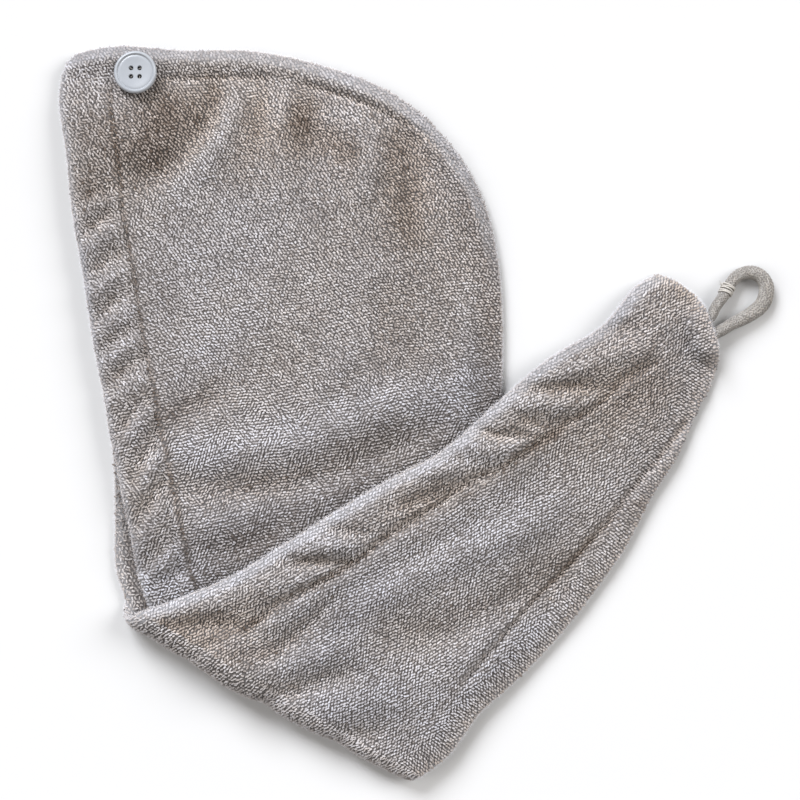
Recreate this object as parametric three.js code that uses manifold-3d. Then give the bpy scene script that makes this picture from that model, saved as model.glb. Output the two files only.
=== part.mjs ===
// A terry hair towel lying flat: a hood of two sewn panels, with its tail folded over the hood.
// Units are millimetres. +Z is up, z = 0 is the table, and +Y is the top of the photograph.
import * as THREE from 'three';
import Module from 'manifold-3d';

const wasm = await Module();
wasm.setup();

// Cloth
const CLOTH = 3.0;
const HEM_EXTRA = 1.0;
const HEM_WIDTH = 29;
const SEAM_GAP = 0.3;
const EDGE_RADIUS = 4;
const SEAM_EDGE_ROUND = 1.6;
const HEM_EDGE_ROUND = 1.3;

// Hollows between the two panels, and how far from a seam or the fold they take to open
const HOOD_GAP = 6;
const TAIL_GAP = 5.4;
const FOLD_GAP = 2.5;
const FOLD_BULGE = { x: -80, y: -146, height: 3, width: 32 };
const HOOD_SEAM_RAMP = 60;
const TAIL_SEAM_RAMP = 32;
const FOLD_RAMP = 55;
const HEM_RAMP = 12;

// The fold, where the tail turns back over the hood
const FOLD_INNER_RADIUS = 0.45;
const FOLD_OUTWARD = { x: -0.513, y: -0.859 };
const FOLD_ANGLES_DEG = [-60, -30, 0, 30, 60];
const DROOP_LENGTH = 45;

// Relief on the faces that show
const RIPPLE_HEIGHT = 1.9;
const RIPPLE_PITCH = 36;
const HOOD_RIPPLE_SLANT = 1.0;
const TAIL_RIPPLE_SLANT = 1.9;
const TAIL_HEM_DIRECTION = { x: 0.835, y: 0.55 };
const HEM_PUFF = 0.6;
const STITCH_DEPTH = 1.2;
const STITCH_WIDTH = 2.6;
const SEAM_BAND = 14.5;
const SEAM_PUFF = 0.7;
const SEAM_CREASE_DEPTH = 1.1;
const SEAM_CREASE_WIDTH = 3.2;
const COVER_FADE = 14;

// Grid of each panel: distances in from an edge, and cells between the edge bands
const SEAM_LINES = [0, 1.2, 4, 9, 15];
const HEM_LINES = [0, 1.2, 4, 11, 19, 26, 29.5, 34];
const MIDDLE_CELLS = 8;
const HOOD_CELLS = 24;
const TAIL_CELLS = 22;
const OUTLINE_SAMPLES = 160;

// Button
const BUTTON_DIAMETER = 24;
const BUTTON_HEIGHT = 3.8;
const BUTTON_CENTRE_HEIGHT = 2.5;
const BUTTON_GROOVE_RADIUS = 9.7;
const BUTTON_HOLE_DIAMETER = 2.4;
const BUTTON_HOLE_SPACING = 4.7;
const BUTTON_SEAT = { x: -141.4, y: 190.6 };
const BUTTON_CLEARANCE = 0.1;
const BUTTON_SIDES = 48;

// Loop
const CORD_DIAMETER = 7.6;
const CORD_SIDES = 10;
const CORD_STEPS = 60;
const CORD_CLEARANCE = 0.35;
const LEG_HEIGHT = CLOTH + CORD_CLEARANCE + CORD_DIAMETER / 2;
const TABLE_HEIGHT = CORD_DIAMETER / 2 + 0.1;
const POCKET_CORE = 5;
const POCKET_FADE = 11;
const WHIPPING_LENGTH = 5;
const WHIPPING_THICKNESS = 0.9;
const WHIPPING_PLACE = 0.235;

// Sections of the hood, from the button's corner to the fold: a point on the opening edge, a point on the
// seam, and how far the front hem stands back from the back hem.
const HOOD_SECTIONS = [
  { openX: -182, openY: 200, seamX: 20, seamY: 166.5, frontInset: 0 },
  { openX: -185, openY: 175, seamX: 41, seamY: 142, frontInset: 0 },
  { openX: -181, openY: 148, seamX: 54, seamY: 116, frontInset: 0 },
  { openX: -177, openY: 110, seamX: 61, seamY: 86, frontInset: 0 },
  { openX: -171, openY: 76, seamX: 63.5, seamY: 52, frontInset: 0 },
  { openX: -166, openY: 42, seamX: 63.3, seamY: 20, frontInset: 0 },
  { openX: -159.5, openY: 9, seamX: 61, seamY: -17, frontInset: 0 },
  { openX: -155, openY: -24, seamX: 57.5, seamY: -52, frontInset: 0 },
  { openX: -154, openY: -54, seamX: 51, seamY: -93, frontInset: 5 },
  { openX: -153.5, openY: -85, seamX: 38, seamY: -144, frontInset: 13 },
  { openX: -148, openY: -103.3, seamX: 8.3, seamY: -196.5, frontInset: 18 },
];

// Sections of the tail, from the fold to the tip, with the same columns.
const TAIL_SECTIONS = [
  { openX: -138, openY: -109.3, seamX: 18, seamY: -202.3, frontInset: 10 },
  { openX: -112, openY: -100, seamX: 34, seamY: -190, frontInset: 4 },
  { openX: -87, openY: -89, seamX: 50, seamY: -168, frontInset: 3 },
  { openX: -60, openY: -72.5, seamX: 74, seamY: -146.5, frontInset: 3 },
  { openX: -30, openY: -53.5, seamX: 98, seamY: -121, frontInset: 3 },
  { openX: 0, openY: -35.5, seamX: 116, seamY: -98, frontInset: 3 },
  { openX: 29, openY: -20, seamX: 132.5, seamY: -74, frontInset: 3 },
  { openX: 58, openY: 5.5, seamX: 147, seamY: -46, frontInset: 2 },
  { openX: 88, openY: 31, seamX: 160, seamY: -25, frontInset: 1 },
  { openX: 118, openY: 49, seamX: 169, seamY: -5, frontInset: 0 },
  { openX: 138, openY: 72, seamX: 174, seamY: 6, frontInset: 0 },
  { openX: 150.5, openY: 79, seamX: 177.4, seamY: 12, frontInset: 0 },
];

// The sewn edge over the crown, from the button's corner to the first section's seam point.
const CROWN_EDGE = [
  { x: -182, y: 200 },
  { x: -168, y: 203.8 },
  { x: -149, y: 206.5 },
  { x: -117, y: 204.3 },
  { x: -75, y: 203.5 },
  { x: -32, y: 193.8 },
  { x: -3, y: 182.3 },
  { x: 20, y: 166.5 },
];

// The line that the tail turns about, as it lies on the hood's side and on the tail's side.
const FOLD_LINE_HOOD = [
  { x: -148, y: -103.3 },
  { x: 8.3, y: -196.5 },
];
const FOLD_LINE_TAIL = [
  { x: -138, y: -109.3 },
  { x: 18, y: -202.3 },
];

// The sewn edge round the tip, from the tail's opening edge to its seam.
const TIP_EDGE = [
  { x: 150.5, y: 79 },
  { x: 161, y: 74.5 },
  { x: 173.5, y: 64.5 },
  { x: 180, y: 51 },
  { x: 184.3, y: 34 },
  { x: 182.2, y: 24 },
  { x: 177.4, y: 12 },
];

// Folds and dents pressed into the hood's top, and into the tail's top. A negative height is a dent.
const HOOD_FOLDS = [
  { fromX: -92, fromY: 169, toX: -128, toY: 128, height: 1.5, width: 9 },
  { fromX: -63, fromY: 169, toX: -69, toY: 145, height: 1.2, width: 8 },
  { fromX: -131, fromY: 163, toX: -124, toY: 156, height: -1.3, width: 11 },
  { fromX: -160, fromY: 155, toX: -157, toY: 147, height: -1.4, width: 10 },
  { fromX: -46, fromY: 167, toX: -28, toY: 151, height: -1.2, width: 10 },
  { fromX: -121, fromY: -26, toX: -60, toY: -6, height: 2, width: 14 },
  { fromX: -108, fromY: -34, toX: -11, toY: -13, height: -2, width: 11 },
  { fromX: -110, fromY: 75, toX: -30, toY: 110, height: 1.2, width: 22 },
];
const TAIL_FOLDS = [
  { fromX: -69, fromY: -156, toX: 6, toY: -126, height: 1.5, width: 9 },
  { fromX: -30, fromY: -166, toX: 30, toY: -134, height: -1.3, width: 8 },
  { fromX: -100, fromY: -130, toX: -40, toY: -104, height: -1.2, width: 9 },
  { fromX: 20, fromY: -110, toX: 85, toY: -52, height: 1.4, width: 16 },
  { fromX: 95, fromY: -30, toX: 150, toY: 15, height: 1.2, width: 13 },
];

// The cord's route: sewn between the panels at the tip, out, round the loop and back in.
const LOOP_ROUTE = [
  { x: 174.8, y: 50.1, z: LEG_HEIGHT },
  { x: 179.3, y: 54, z: LEG_HEIGHT },
  { x: 182.8, y: 60.4, z: 6.7 },
  { x: 187.3, y: 66.8, z: 6.0 },
  { x: 191.0, y: 73.2, z: 5.2 },
  { x: 195.4, y: 77.8, z: TABLE_HEIGHT },
  { x: 201.7, y: 79.6, z: TABLE_HEIGHT },
  { x: 207.4, y: 77.9, z: TABLE_HEIGHT },
  { x: 210.9, y: 73.1, z: TABLE_HEIGHT },
  { x: 211.2, y: 68.1, z: TABLE_HEIGHT },
  { x: 209.3, y: 62.3, z: TABLE_HEIGHT },
  { x: 204.9, y: 57.9, z: TABLE_HEIGHT },
  { x: 198.5, y: 54, z: 4.2 },
  { x: 192.1, y: 50.9, z: 5.1 },
  { x: 186.3, y: 47.4, z: 6.4 },
  { x: 182.5, y: 45.4, z: LEG_HEIGHT },
  { x: 178, y: 41.5, z: LEG_HEIGHT },
];
const LEG_SEGMENTS = [
  { from: LOOP_ROUTE[0], to: LOOP_ROUTE[1] },
  { from: LOOP_ROUTE[LOOP_ROUTE.length - 1], to: LOOP_ROUTE[LOOP_ROUTE.length - 2] },
];

const COLOURS = {
  terry: 0x9c9794,
  button: 0xc0c3c5,
  cord: 0xa19d99,
  thread: 0xaaa69f,
};

function smooth(value) {
  const t = Math.min(Math.max(value, 0), 1);
  return t * t * (3 - 2 * t);
}

function mix(first, second, share) {
  return first + (second - first) * share;
}

function bell(distance, width) {
  return Math.exp(-((distance / width) ** 2));
}

function curveThrough(rows) {
  const points = rows.map((row) => new THREE.Vector3(row.x, row.y, row.z ?? 0));
  return new THREE.CatmullRomCurve3(points, false, 'centripetal');
}

function openEdge(sections) {
  return curveThrough(sections.map((row) => ({ x: row.openX, y: row.openY })));
}

function seamEdge(sections) {
  return curveThrough(sections.map((row) => ({ x: row.seamX, y: row.seamY })));
}

function insetCurve(sections) {
  return curveThrough(sections.map((row, index) => ({ x: index, y: row.frontInset })));
}

function distanceToSegment(from, to, x, y) {
  const runX = to.x - from.x;
  const runY = to.y - from.y;
  const share = ((x - from.x) * runX + (y - from.y) * runY) / (runX * runX + runY * runY);
  const held = Math.min(Math.max(share, 0), 1);
  return Math.hypot(x - from.x - runX * held, y - from.y - runY * held);
}

function distanceToLine(points, x, y) {
  let nearest = Infinity;
  for (let i = 1; i < points.length; i += 1) {
    nearest = Math.min(nearest, distanceToSegment(points[i - 1], points[i], x, y));
  }
  return nearest;
}

function isInside(outline, x, y) {
  let inside = false;
  for (let i = 0; i < outline.length; i += 1) {
    const a = outline[i];
    const b = outline[(i + 1) % outline.length];
    if ((a.y > y) !== (b.y > y) && x < a.x + ((y - a.y) * (b.x - a.x)) / (b.y - a.y)) inside = !inside;
  }
  return inside;
}

// The plan of the towel: each half is a patch between four edges.
const hood = {
  open: openEdge(HOOD_SECTIONS),
  seam: seamEdge(HOOD_SECTIONS),
  start: curveThrough(CROWN_EDGE),
  end: curveThrough(FOLD_LINE_HOOD),
  inset: insetCurve(HOOD_SECTIONS),
};
const tail = {
  open: openEdge(TAIL_SECTIONS),
  seam: seamEdge(TAIL_SECTIONS),
  start: curveThrough(FOLD_LINE_TAIL),
  end: curveThrough(TIP_EDGE),
  inset: insetCurve(TAIL_SECTIONS),
};

function samples(curve) {
  return curve.getSpacedPoints(OUTLINE_SAMPLES);
}

const hoodOpenLine = samples(hood.open);
const tailOpenLine = samples(tail.open);
const foldLine = samples(hood.end);
const hoodSeamLine = [...samples(hood.start), ...samples(hood.seam)];
const tailSeamLine = [...samples(tail.seam), ...samples(tail.end).reverse()];

function beyondFold(point) {
  return { x: point.x + FOLD_OUTWARD.x * FOLD_RAMP, y: point.y + FOLD_OUTWARD.y * FOLD_RAMP };
}

// The hood's outline, carried on past the fold, so that a place on the fold's line counts as on the hood.
const hoodOutline = [
  ...hoodSeamLine,
  beyondFold(FOLD_LINE_HOOD[1]),
  beyondFold(FOLD_LINE_HOOD[0]),
  ...samples(hood.open).reverse(),
];

function patchPoint(patch, alongShare, acrossShare) {
  const along = Math.min(alongShare, 1);
  const across = Math.min(acrossShare, 1);
  const open = patch.open.getPointAt(along);
  const seam = patch.seam.getPointAt(along);
  const start = patch.start.getPointAt(across);
  const end = patch.end.getPointAt(across);
  const corner = (key) => {
    const first = mix(patch.start.points[0][key], patch.start.points.at(-1)[key], across);
    const last = mix(patch.end.points[0][key], patch.end.points.at(-1)[key], across);
    return mix(first, last, along);
  };
  return {
    x: mix(open.x, seam.x, across) + mix(start.x, end.x, along) - corner('x'),
    y: mix(open.y, seam.y, across) + mix(start.y, end.y, along) - corner('y'),
  };
}

function insetAt(patch, along) {
  return Math.max(patch.inset.getPoint(Math.min(along, 1)).y, 0);
}

// How far the hem's turned-in layer shows at a distance from the opening edge.
function hemShare(fromOpening) {
  return 1 - smooth((fromOpening - HEM_WIDTH + 3) / 6);
}

function edgeRound(distance, depth) {
  const t = Math.max(1 - distance / EDGE_RADIUS, 0);
  return depth * (1 - Math.sqrt(1 - t * t));
}

// Space added where the two hems lie on each other.
function hemSpace(fromOpening) {
  return 2 * HEM_EXTRA * (1 - smooth((fromOpening - HEM_WIDTH - 4) / HEM_RAMP));
}

function hollowGap(fullGap, x, y, fromSeam, seamRamp) {
  const fromFold = distanceToLine(foldLine, x, y);
  const bulge = FOLD_BULGE.height * bell(Math.hypot(x - FOLD_BULGE.x, y - FOLD_BULGE.y), FOLD_BULGE.width);
  const inner = mix(FOLD_GAP + bulge, fullGap, smooth(fromFold / FOLD_RAMP));
  return mix(SEAM_GAP, inner, smooth(fromSeam / seamRamp));
}

function hoodGap(x, y) {
  const fromSeam = distanceToLine(hoodSeamLine, x, y);
  const fromOpening = distanceToLine(hoodOpenLine, x, y);
  return hollowGap(HOOD_GAP, x, y, fromSeam, HOOD_SEAM_RAMP) + hemSpace(fromOpening);
}

// The place between the panels that the loop's two ends fill.
function loopPocket(x, y) {
  const distances = LEG_SEGMENTS.map((leg) => distanceToSegment(leg.from, leg.to, x, y));
  const nearest = Math.min(...distances);
  return (CORD_DIAMETER + 2 * CORD_CLEARANCE) * (1 - smooth((nearest - POCKET_CORE) / POCKET_FADE));
}

function tailGap(x, y) {
  const fromSeam = distanceToLine(tailSeamLine, x, y);
  const fromOpening = distanceToLine(tailOpenLine, x, y);
  const gap = hollowGap(TAIL_GAP, x, y, fromSeam, TAIL_SEAM_RAMP) + hemSpace(fromOpening);
  return Math.max(gap, loopPocket(x, y));
}

// Height that the hood's layers turn about, just above its top.
function hoodAxisHeight(x, y) {
  return 2 * CLOTH + hoodGap(x, y) + FOLD_INNER_RADIUS;
}

// Height that the tail's layers turn about, just under them: on the hood, then down to the table.
function tailAxisHeight(x, y) {
  if (isInside(hoodOutline, x, y)) return hoodAxisHeight(x, y);
  const edgeHeight = 2 * CLOTH + SEAM_GAP + 2 * FOLD_INNER_RADIUS;
  const outside = distanceToLine(hoodSeamLine, x, y);
  return edgeHeight * (1 - smooth(outside / DROOP_LENGTH)) - FOLD_INNER_RADIUS;
}

// 0 where the tail covers the hood, rising to 1 where the hood shows.
function hoodShows(x, y) {
  const index = tailOpenLine.findIndex((point) => point.x > x);
  const edge = tailOpenLine[index < 0 ? tailOpenLine.length - 1 : index];
  return smooth((y - edge.y - 2) / COVER_FADE);
}

function foldRelief(rows, x, y) {
  let height = 0;
  for (const row of rows) {
    const from = { x: row.fromX, y: row.fromY };
    const to = { x: row.toX, y: row.toY };
    height += row.height * bell(distanceToSegment(from, to, x, y), row.width);
  }
  return height;
}

function hemRipple(alongHem, fromOpening, slant) {
  const band = smooth(fromOpening / 7) * (1 - smooth((fromOpening - HEM_WIDTH + 3) / 12));
  const turn = (2 * Math.PI * (alongHem - fromOpening * slant)) / RIPPLE_PITCH;
  return RIPPLE_HEIGHT * Math.cos(turn) * band;
}

// Relief that follows the edges: puffed hem, sunk stitch line, puffed seam allowance and its crease.
function edgeRelief(fromOpening, fromSeam) {
  const hem = HEM_PUFF * bell(fromOpening - HEM_WIDTH / 2, HEM_WIDTH / 3);
  const stitches = STITCH_DEPTH * bell(fromOpening - HEM_WIDTH, STITCH_WIDTH);
  const seam = SEAM_PUFF * bell(fromSeam - SEAM_BAND / 2, SEAM_BAND / 3);
  const crease = SEAM_CREASE_DEPTH * bell(fromSeam - SEAM_BAND, SEAM_CREASE_WIDTH);
  return hem - stitches + seam - crease;
}

function hoodRelief(x, y, fromOpening) {
  const fromSeam = distanceToLine(hoodSeamLine, x, y);
  const ripple = hemRipple(y, fromOpening, HOOD_RIPPLE_SLANT);
  const total = ripple + foldRelief(HOOD_FOLDS, x, y) + edgeRelief(fromOpening, fromSeam);
  return total * hoodShows(x, y);
}

function tailRelief(x, y, fromOpening) {
  const fromSeam = distanceToLine(tailSeamLine, x, y);
  const alongHem = x * TAIL_HEM_DIRECTION.x + y * TAIL_HEM_DIRECTION.y;
  const ripple = hemRipple(alongHem, fromOpening, TAIL_RIPPLE_SLANT);
  return ripple + foldRelief(TAIL_FOLDS, x, y) + edgeRelief(fromOpening, fromSeam);
}

// The stations along the towel. A turn of -90 degrees is the hood, 90 the tail, and between is the fold.
function makeStations() {
  const hoodLength = (hood.open.getLength() + hood.seam.getLength()) / 2;
  const tailLength = (tail.open.getLength() + tail.seam.getLength()) / 2;
  const stations = SEAM_LINES.map((distance) => ({ turn: -90, along: distance / hoodLength }));
  const hoodStart = SEAM_LINES.at(-1) / hoodLength;
  for (let i = 1; i <= HOOD_CELLS; i += 1) {
    stations.push({ turn: -90, along: mix(hoodStart, 1, i / HOOD_CELLS) });
  }
  for (const turn of FOLD_ANGLES_DEG) stations.push({ turn });
  const tailEnd = 1 - SEAM_LINES.at(-1) / tailLength;
  for (let i = 0; i < TAIL_CELLS; i += 1) {
    stations.push({ turn: 90, along: mix(0, tailEnd, i / TAIL_CELLS) });
  }
  for (const distance of [...SEAM_LINES].reverse()) {
    stations.push({ turn: 90, along: 1 - distance / tailLength });
  }
  return stations;
}

// Shares of a section's width at which the grid lines run, from the opening edge to the seam.
function acrossShares(width) {
  const first = HEM_LINES.at(-1);
  const last = width - SEAM_LINES.at(-1);
  const shares = HEM_LINES.map((distance) => distance / width);
  for (let i = 1; i < MIDDLE_CELLS; i += 1) shares.push(mix(first, last, i / MIDDLE_CELLS) / width);
  for (const distance of [...SEAM_LINES].reverse()) shares.push(1 - distance / width);
  return shares;
}

function widthAt(patch, alongShare) {
  const along = Math.min(alongShare, 1);
  return patch.open.getPointAt(along).distanceTo(patch.seam.getPointAt(along));
}

// The nodes of one panel at one flat station, hood or tail.
function flatNodes(station, isFront) {
  const isHood = station.turn < 0;
  const patch = isHood ? hood : tail;
  const fullWidth = widthAt(patch, station.along);
  const inset = isFront ? insetAt(patch, station.along) : 0;
  const width = fullWidth - inset;
  return acrossShares(width).map((share) => {
    const plan = patchPoint(patch, station.along, (inset + share * width) / fullWidth);
    const fromOpening = share * width;
    const seamLine = isHood ? hoodSeamLine : tailSeamLine;
    const hoodTop = isHood && isFront ? hoodRelief(plan.x, plan.y, fromOpening) : 0;
    const tailTop = !isHood && !isFront ? tailRelief(plan.x, plan.y, fromOpening) : 0;
    return {
      x: plan.x,
      y: plan.y,
      axisHeight: isHood ? hoodAxisHeight(plan.x, plan.y) : tailAxisHeight(plan.x, plan.y),
      gap: isHood ? hoodGap(plan.x, plan.y) : tailGap(plan.x, plan.y),
      relief: hoodTop + tailTop,
      fromOpening,
      fromSeam: distanceToLine(seamLine, plan.x, plan.y),
      turn: station.turn,
    };
  });
}

// The nodes in the fold lie between the last hood station and the first tail station.
function foldNodes(turn, hoodNodes, tailNodes) {
  const share = (turn + 90) / 180;
  const keys = ['x', 'y', 'axisHeight', 'gap', 'relief', 'fromOpening', 'fromSeam'];
  return hoodNodes.map((node, index) => {
    const between = { turn };
    for (const key of keys) between[key] = mix(node[key], tailNodes[index][key], share);
    return between;
  });
}

function panelNodes(stations, isFront) {
  const lastHood = flatNodes({ turn: -90, along: 1 }, isFront);
  const firstTail = flatNodes({ turn: 90, along: 0 }, isFront);
  return stations.map((station) => {
    if (Math.abs(station.turn) < 90) return foldNodes(station.turn, lastHood, firstTail);
    return flatNodes(station, isFront);
  });
}

// A node's distances from the fold's axis, to the face that the hollow sees and to the outer face.
function faceRadii(node, isFront) {
  const hemRound = edgeRound(node.fromOpening, HEM_EDGE_ROUND);
  const outerRound = Math.max(hemRound, edgeRound(node.fromSeam, SEAM_EDGE_ROUND));
  const turnedIn = HEM_EXTRA * hemShare(node.fromOpening) - hemRound;
  if (isFront) {
    const inner = FOLD_INNER_RADIUS + CLOTH + turnedIn;
    return { inner, outer: FOLD_INNER_RADIUS - node.relief + outerRound };
  }
  const hollowTop = FOLD_INNER_RADIUS + CLOTH + node.gap;
  return { inner: hollowTop - turnedIn, outer: hollowTop + CLOTH + node.relief - outerRound };
}

function placeOnTurn(node, radius) {
  const angle = THREE.MathUtils.degToRad(node.turn);
  const reach = radius * Math.cos(angle);
  return [
    node.x + FOLD_OUTWARD.x * reach,
    node.y + FOLD_OUTWARD.y * reach,
    node.axisHeight + radius * Math.sin(angle),
  ];
}

function signedVolume(positions, triangles) {
  let volume = 0;
  const a = new THREE.Vector3();
  const b = new THREE.Vector3();
  const c = new THREE.Vector3();
  for (let i = 0; i < triangles.length; i += 3) {
    a.fromArray(positions, triangles[i] * 3);
    b.fromArray(positions, triangles[i + 1] * 3);
    c.fromArray(positions, triangles[i + 2] * 3);
    volume += a.dot(b.cross(c)) / 6;
  }
  return volume;
}

function solidGeometry(positions, triangles) {
  const facing = signedVolume(positions, triangles) > 0 ? triangles : [...triangles].reverse();
  const geometry = new THREE.BufferGeometry();
  geometry.setAttribute('position', new THREE.Float32BufferAttribute(positions, 3));
  geometry.setIndex(facing);
  geometry.computeVertexNormals();
  return geometry;
}

// A closed shell: the outer grid, the inner grid facing the other way, and a strip round the rim.
function shellGeometry(rows, isFront) {
  const rowCount = rows.length;
  const columnCount = rows[0].length;
  const layerSize = rowCount * columnCount;
  const outer = [];
  const inner = [];
  for (const node of rows.flat()) {
    const radii = faceRadii(node, isFront);
    outer.push(...placeOnTurn(node, radii.outer));
    inner.push(...placeOnTurn(node, radii.inner));
  }
  const triangles = [];
  for (let i = 0; i + 1 < rowCount; i += 1) {
    for (let j = 0; j + 1 < columnCount; j += 1) {
      const a = i * columnCount + j;
      const b = a + 1;
      const c = a + columnCount;
      const d = c + 1;
      triangles.push(a, b, d, a, d, c);
      const [innerA, innerB, innerC, innerD] = [a, b, c, d].map((corner) => corner + layerSize);
      triangles.push(innerA, innerD, innerB, innerA, innerC, innerD);
    }
  }
  const rim = rimLoop(rowCount, columnCount);
  rim.forEach((from, index) => {
    const to = rim[(index + 1) % rim.length];
    triangles.push(from, from + layerSize, to + layerSize, from, to + layerSize, to);
  });
  return solidGeometry([...outer, ...inner], triangles);
}

// Grid indices round the rim, in the order that closes the two grids.
function rimLoop(rowCount, columnCount) {
  const loop = [];
  for (let j = 0; j < columnCount - 1; j += 1) loop.push(j);
  for (let i = 0; i < rowCount - 1; i += 1) loop.push(i * columnCount + columnCount - 1);
  for (let j = columnCount - 1; j > 0; j -= 1) loop.push((rowCount - 1) * columnCount + j);
  for (let i = rowCount - 1; i > 0; i -= 1) loop.push(i * columnCount);
  return loop;
}

function panelGeometry(isFront) {
  return shellGeometry(panelNodes(makeStations(), isFront), isFront);
}

// Vertices at the same place become one, and triangles that collapse are dropped.
function weldedMesh(geometry) {
  const source = geometry.getAttribute('position');
  const inTurn = Array.from({ length: source.count }, (unused, i) => i);
  const order = geometry.index ? geometry.index.array : inTurn;
  const places = new Map();
  const positions = [];
  const triangles = [];
  const cornerOf = (index) => {
    const corner = [source.getX(index), source.getY(index), source.getZ(index)];
    const key = corner.map((value) => Math.round(value * 1e4)).join(' ');
    if (!places.has(key)) {
      places.set(key, places.size);
      positions.push(...corner);
    }
    return places.get(key);
  };
  for (let i = 0; i < order.length; i += 3) {
    const [a, b, c] = [0, 1, 2].map((step) => cornerOf(order[i + step]));
    if (a !== b && b !== c && c !== a) triangles.push(a, b, c);
  }
  return solidGeometry(positions, triangles);
}

function solidFrom(geometry) {
  const welded = weldedMesh(geometry);
  return new wasm.Manifold(new wasm.Mesh({
    numProp: 3,
    vertProperties: new Float32Array(welded.getAttribute('position').array),
    triVerts: new Uint32Array(welded.index.array),
  }));
}

// The button stands on its flat back at the origin, with its axis along +Z.
function buttonGeometry() {
  const radius = BUTTON_DIAMETER / 2;
  const profile = [
    [0, 0],
    [radius - 1, 0],
    [radius - 0.2, 0.8],
    [radius, 1.8],
    [radius - 0.3, 2.9],
    [radius - 0.9, 3.6],
    [radius - 1.5, BUTTON_HEIGHT],
    [BUTTON_GROOVE_RADIUS + 0.4, 3.2],
    [BUTTON_GROOVE_RADIUS, 2.9],
    [BUTTON_GROOVE_RADIUS - 0.6, 3],
    [6, 2.7],
    [0, BUTTON_CENTRE_HEIGHT],
  ].map(([across, up]) => new THREE.Vector2(across, up));
  const disc = new THREE.LatheGeometry(profile, BUTTON_SIDES).rotateX(Math.PI / 2);
  let solid = solidFrom(disc);
  const half = BUTTON_HOLE_SPACING / 2;
  for (const x of [-half, half]) {
    for (const y of [-half, half]) {
      const drill = new THREE.CylinderGeometry(BUTTON_HOLE_DIAMETER / 2, BUTTON_HOLE_DIAMETER / 2, 12, 16);
      solid = solid.subtract(solidFrom(drill.rotateX(Math.PI / 2).translate(x, y, 0)));
    }
  }
  const mesh = solid.getMesh();
  return solidGeometry([...mesh.vertProperties], [...mesh.triVerts]);
}

function hoodTopAt(x, y) {
  const fromOpening = distanceToLine(hoodOpenLine, x, y);
  return hoodAxisHeight(x, y) - FOLD_INNER_RADIUS + hoodRelief(x, y, fromOpening);
}

// The button lies on the cloth, tilted as the cloth slopes under it.
function seatedButton() {
  const { x, y } = BUTTON_SEAT;
  const reach = BUTTON_DIAMETER / 2;
  const slopeX = (hoodTopAt(x + reach, y) - hoodTopAt(x - reach, y)) / BUTTON_DIAMETER;
  const slopeY = (hoodTopAt(x, y + reach) - hoodTopAt(x, y - reach)) / BUTTON_DIAMETER;
  const up = new THREE.Vector3(-slopeX, -slopeY, 1).normalize();
  const turn = new THREE.Quaternion().setFromUnitVectors(new THREE.Vector3(0, 0, 1), up);
  const corners = [
    [0, 0], [-1, 0], [1, 0], [0, -1], [0, 1],
    [-0.7, 0.7], [0.7, 0.7], [-0.7, -0.7], [0.7, -0.7],
  ];
  const heights = corners.map(([stepX, stepY]) => {
    const alongX = stepX * reach;
    const alongY = stepY * reach;
    return hoodTopAt(x + alongX, y + alongY) - slopeX * alongX - slopeY * alongY;
  });
  const height = Math.max(...heights) + BUTTON_CLEARANCE;
  return buttonGeometry().applyQuaternion(turn).translate(x, y, height);
}

function circleShape(radius, sides) {
  const shape = new THREE.Shape();
  for (let i = 0; i < sides; i += 1) {
    const angle = (2 * Math.PI * i) / sides;
    const x = radius * Math.cos(angle);
    const y = radius * Math.sin(angle);
    if (i === 0) shape.moveTo(x, y);
    else shape.lineTo(x, y);
  }
  shape.closePath();
  return shape;
}

function loopGeometry() {
  const settings = { steps: CORD_STEPS, bevelEnabled: false, extrudePath: curveThrough(LOOP_ROUTE) };
  return weldedMesh(new THREE.ExtrudeGeometry(circleShape(CORD_DIAMETER / 2, CORD_SIDES), settings));
}

// Turns of thread lying on each other round the cord, as one ring.
function whippingGeometry() {
  const inner = CORD_DIAMETER / 2 + CORD_CLEARANCE;
  const outer = inner + WHIPPING_THICKNESS;
  const half = WHIPPING_LENGTH / 2;
  const profile = [
    [inner, -half],
    [outer - 0.3, -half],
    [outer, -half + 0.4],
    [outer, half - 0.4],
    [outer - 0.3, half],
    [inner, half],
    [inner, -half],
  ].map(([across, up]) => new THREE.Vector2(across, up));
  const route = curveThrough(LOOP_ROUTE);
  const place = route.getPointAt(WHIPPING_PLACE);
  const turn = new THREE.Quaternion();
  turn.setFromUnitVectors(new THREE.Vector3(0, 1, 0), route.getTangentAt(WHIPPING_PLACE));
  const ring = new THREE.LatheGeometry(profile, 24).applyQuaternion(turn);
  return weldedMesh(ring.translate(place.x, place.y, place.z));
}

function makeMesh(name, geometry, colour, roughness) {
  const mesh = new THREE.Mesh(geometry, new THREE.MeshStandardMaterial({ color: colour, roughness }));
  mesh.name = name;
  return mesh;
}

// The origin is under the middle of the towel without its loop.
function centreOnTable(group, withoutLoop) {
  const box = new THREE.Box3();
  for (const mesh of withoutLoop) box.expandByObject(mesh);
  const middle = box.getCenter(new THREE.Vector3());
  for (const mesh of group.children) mesh.geometry.translate(-middle.x, -middle.y, -box.min.z);
}

const frontPanel = makeMesh('front_panel', panelGeometry(true), COLOURS.terry, 1);
const backPanel = makeMesh('back_panel', panelGeometry(false), COLOURS.terry, 1);
const button = makeMesh('button', seatedButton(), COLOURS.button, 0.35);
const loopCord = makeMesh('loop_cord', loopGeometry(), COLOURS.cord, 0.9);
const loopWhipping = makeMesh('loop_whipping', whippingGeometry(), COLOURS.thread, 0.9);

const towel = new THREE.Group();
towel.add(frontPanel, backPanel, button, loopCord, loopWhipping);
centreOnTable(towel, [frontPanel, backPanel, button]);

export default towel;
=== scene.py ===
"""A terry hair towel lying flat: a hood of two sewn panels, with its tail folded over the hood.

The plan and the heights follow the CAD part. Sizes are in millimetres until a mesh is made.
"""
import math

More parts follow.
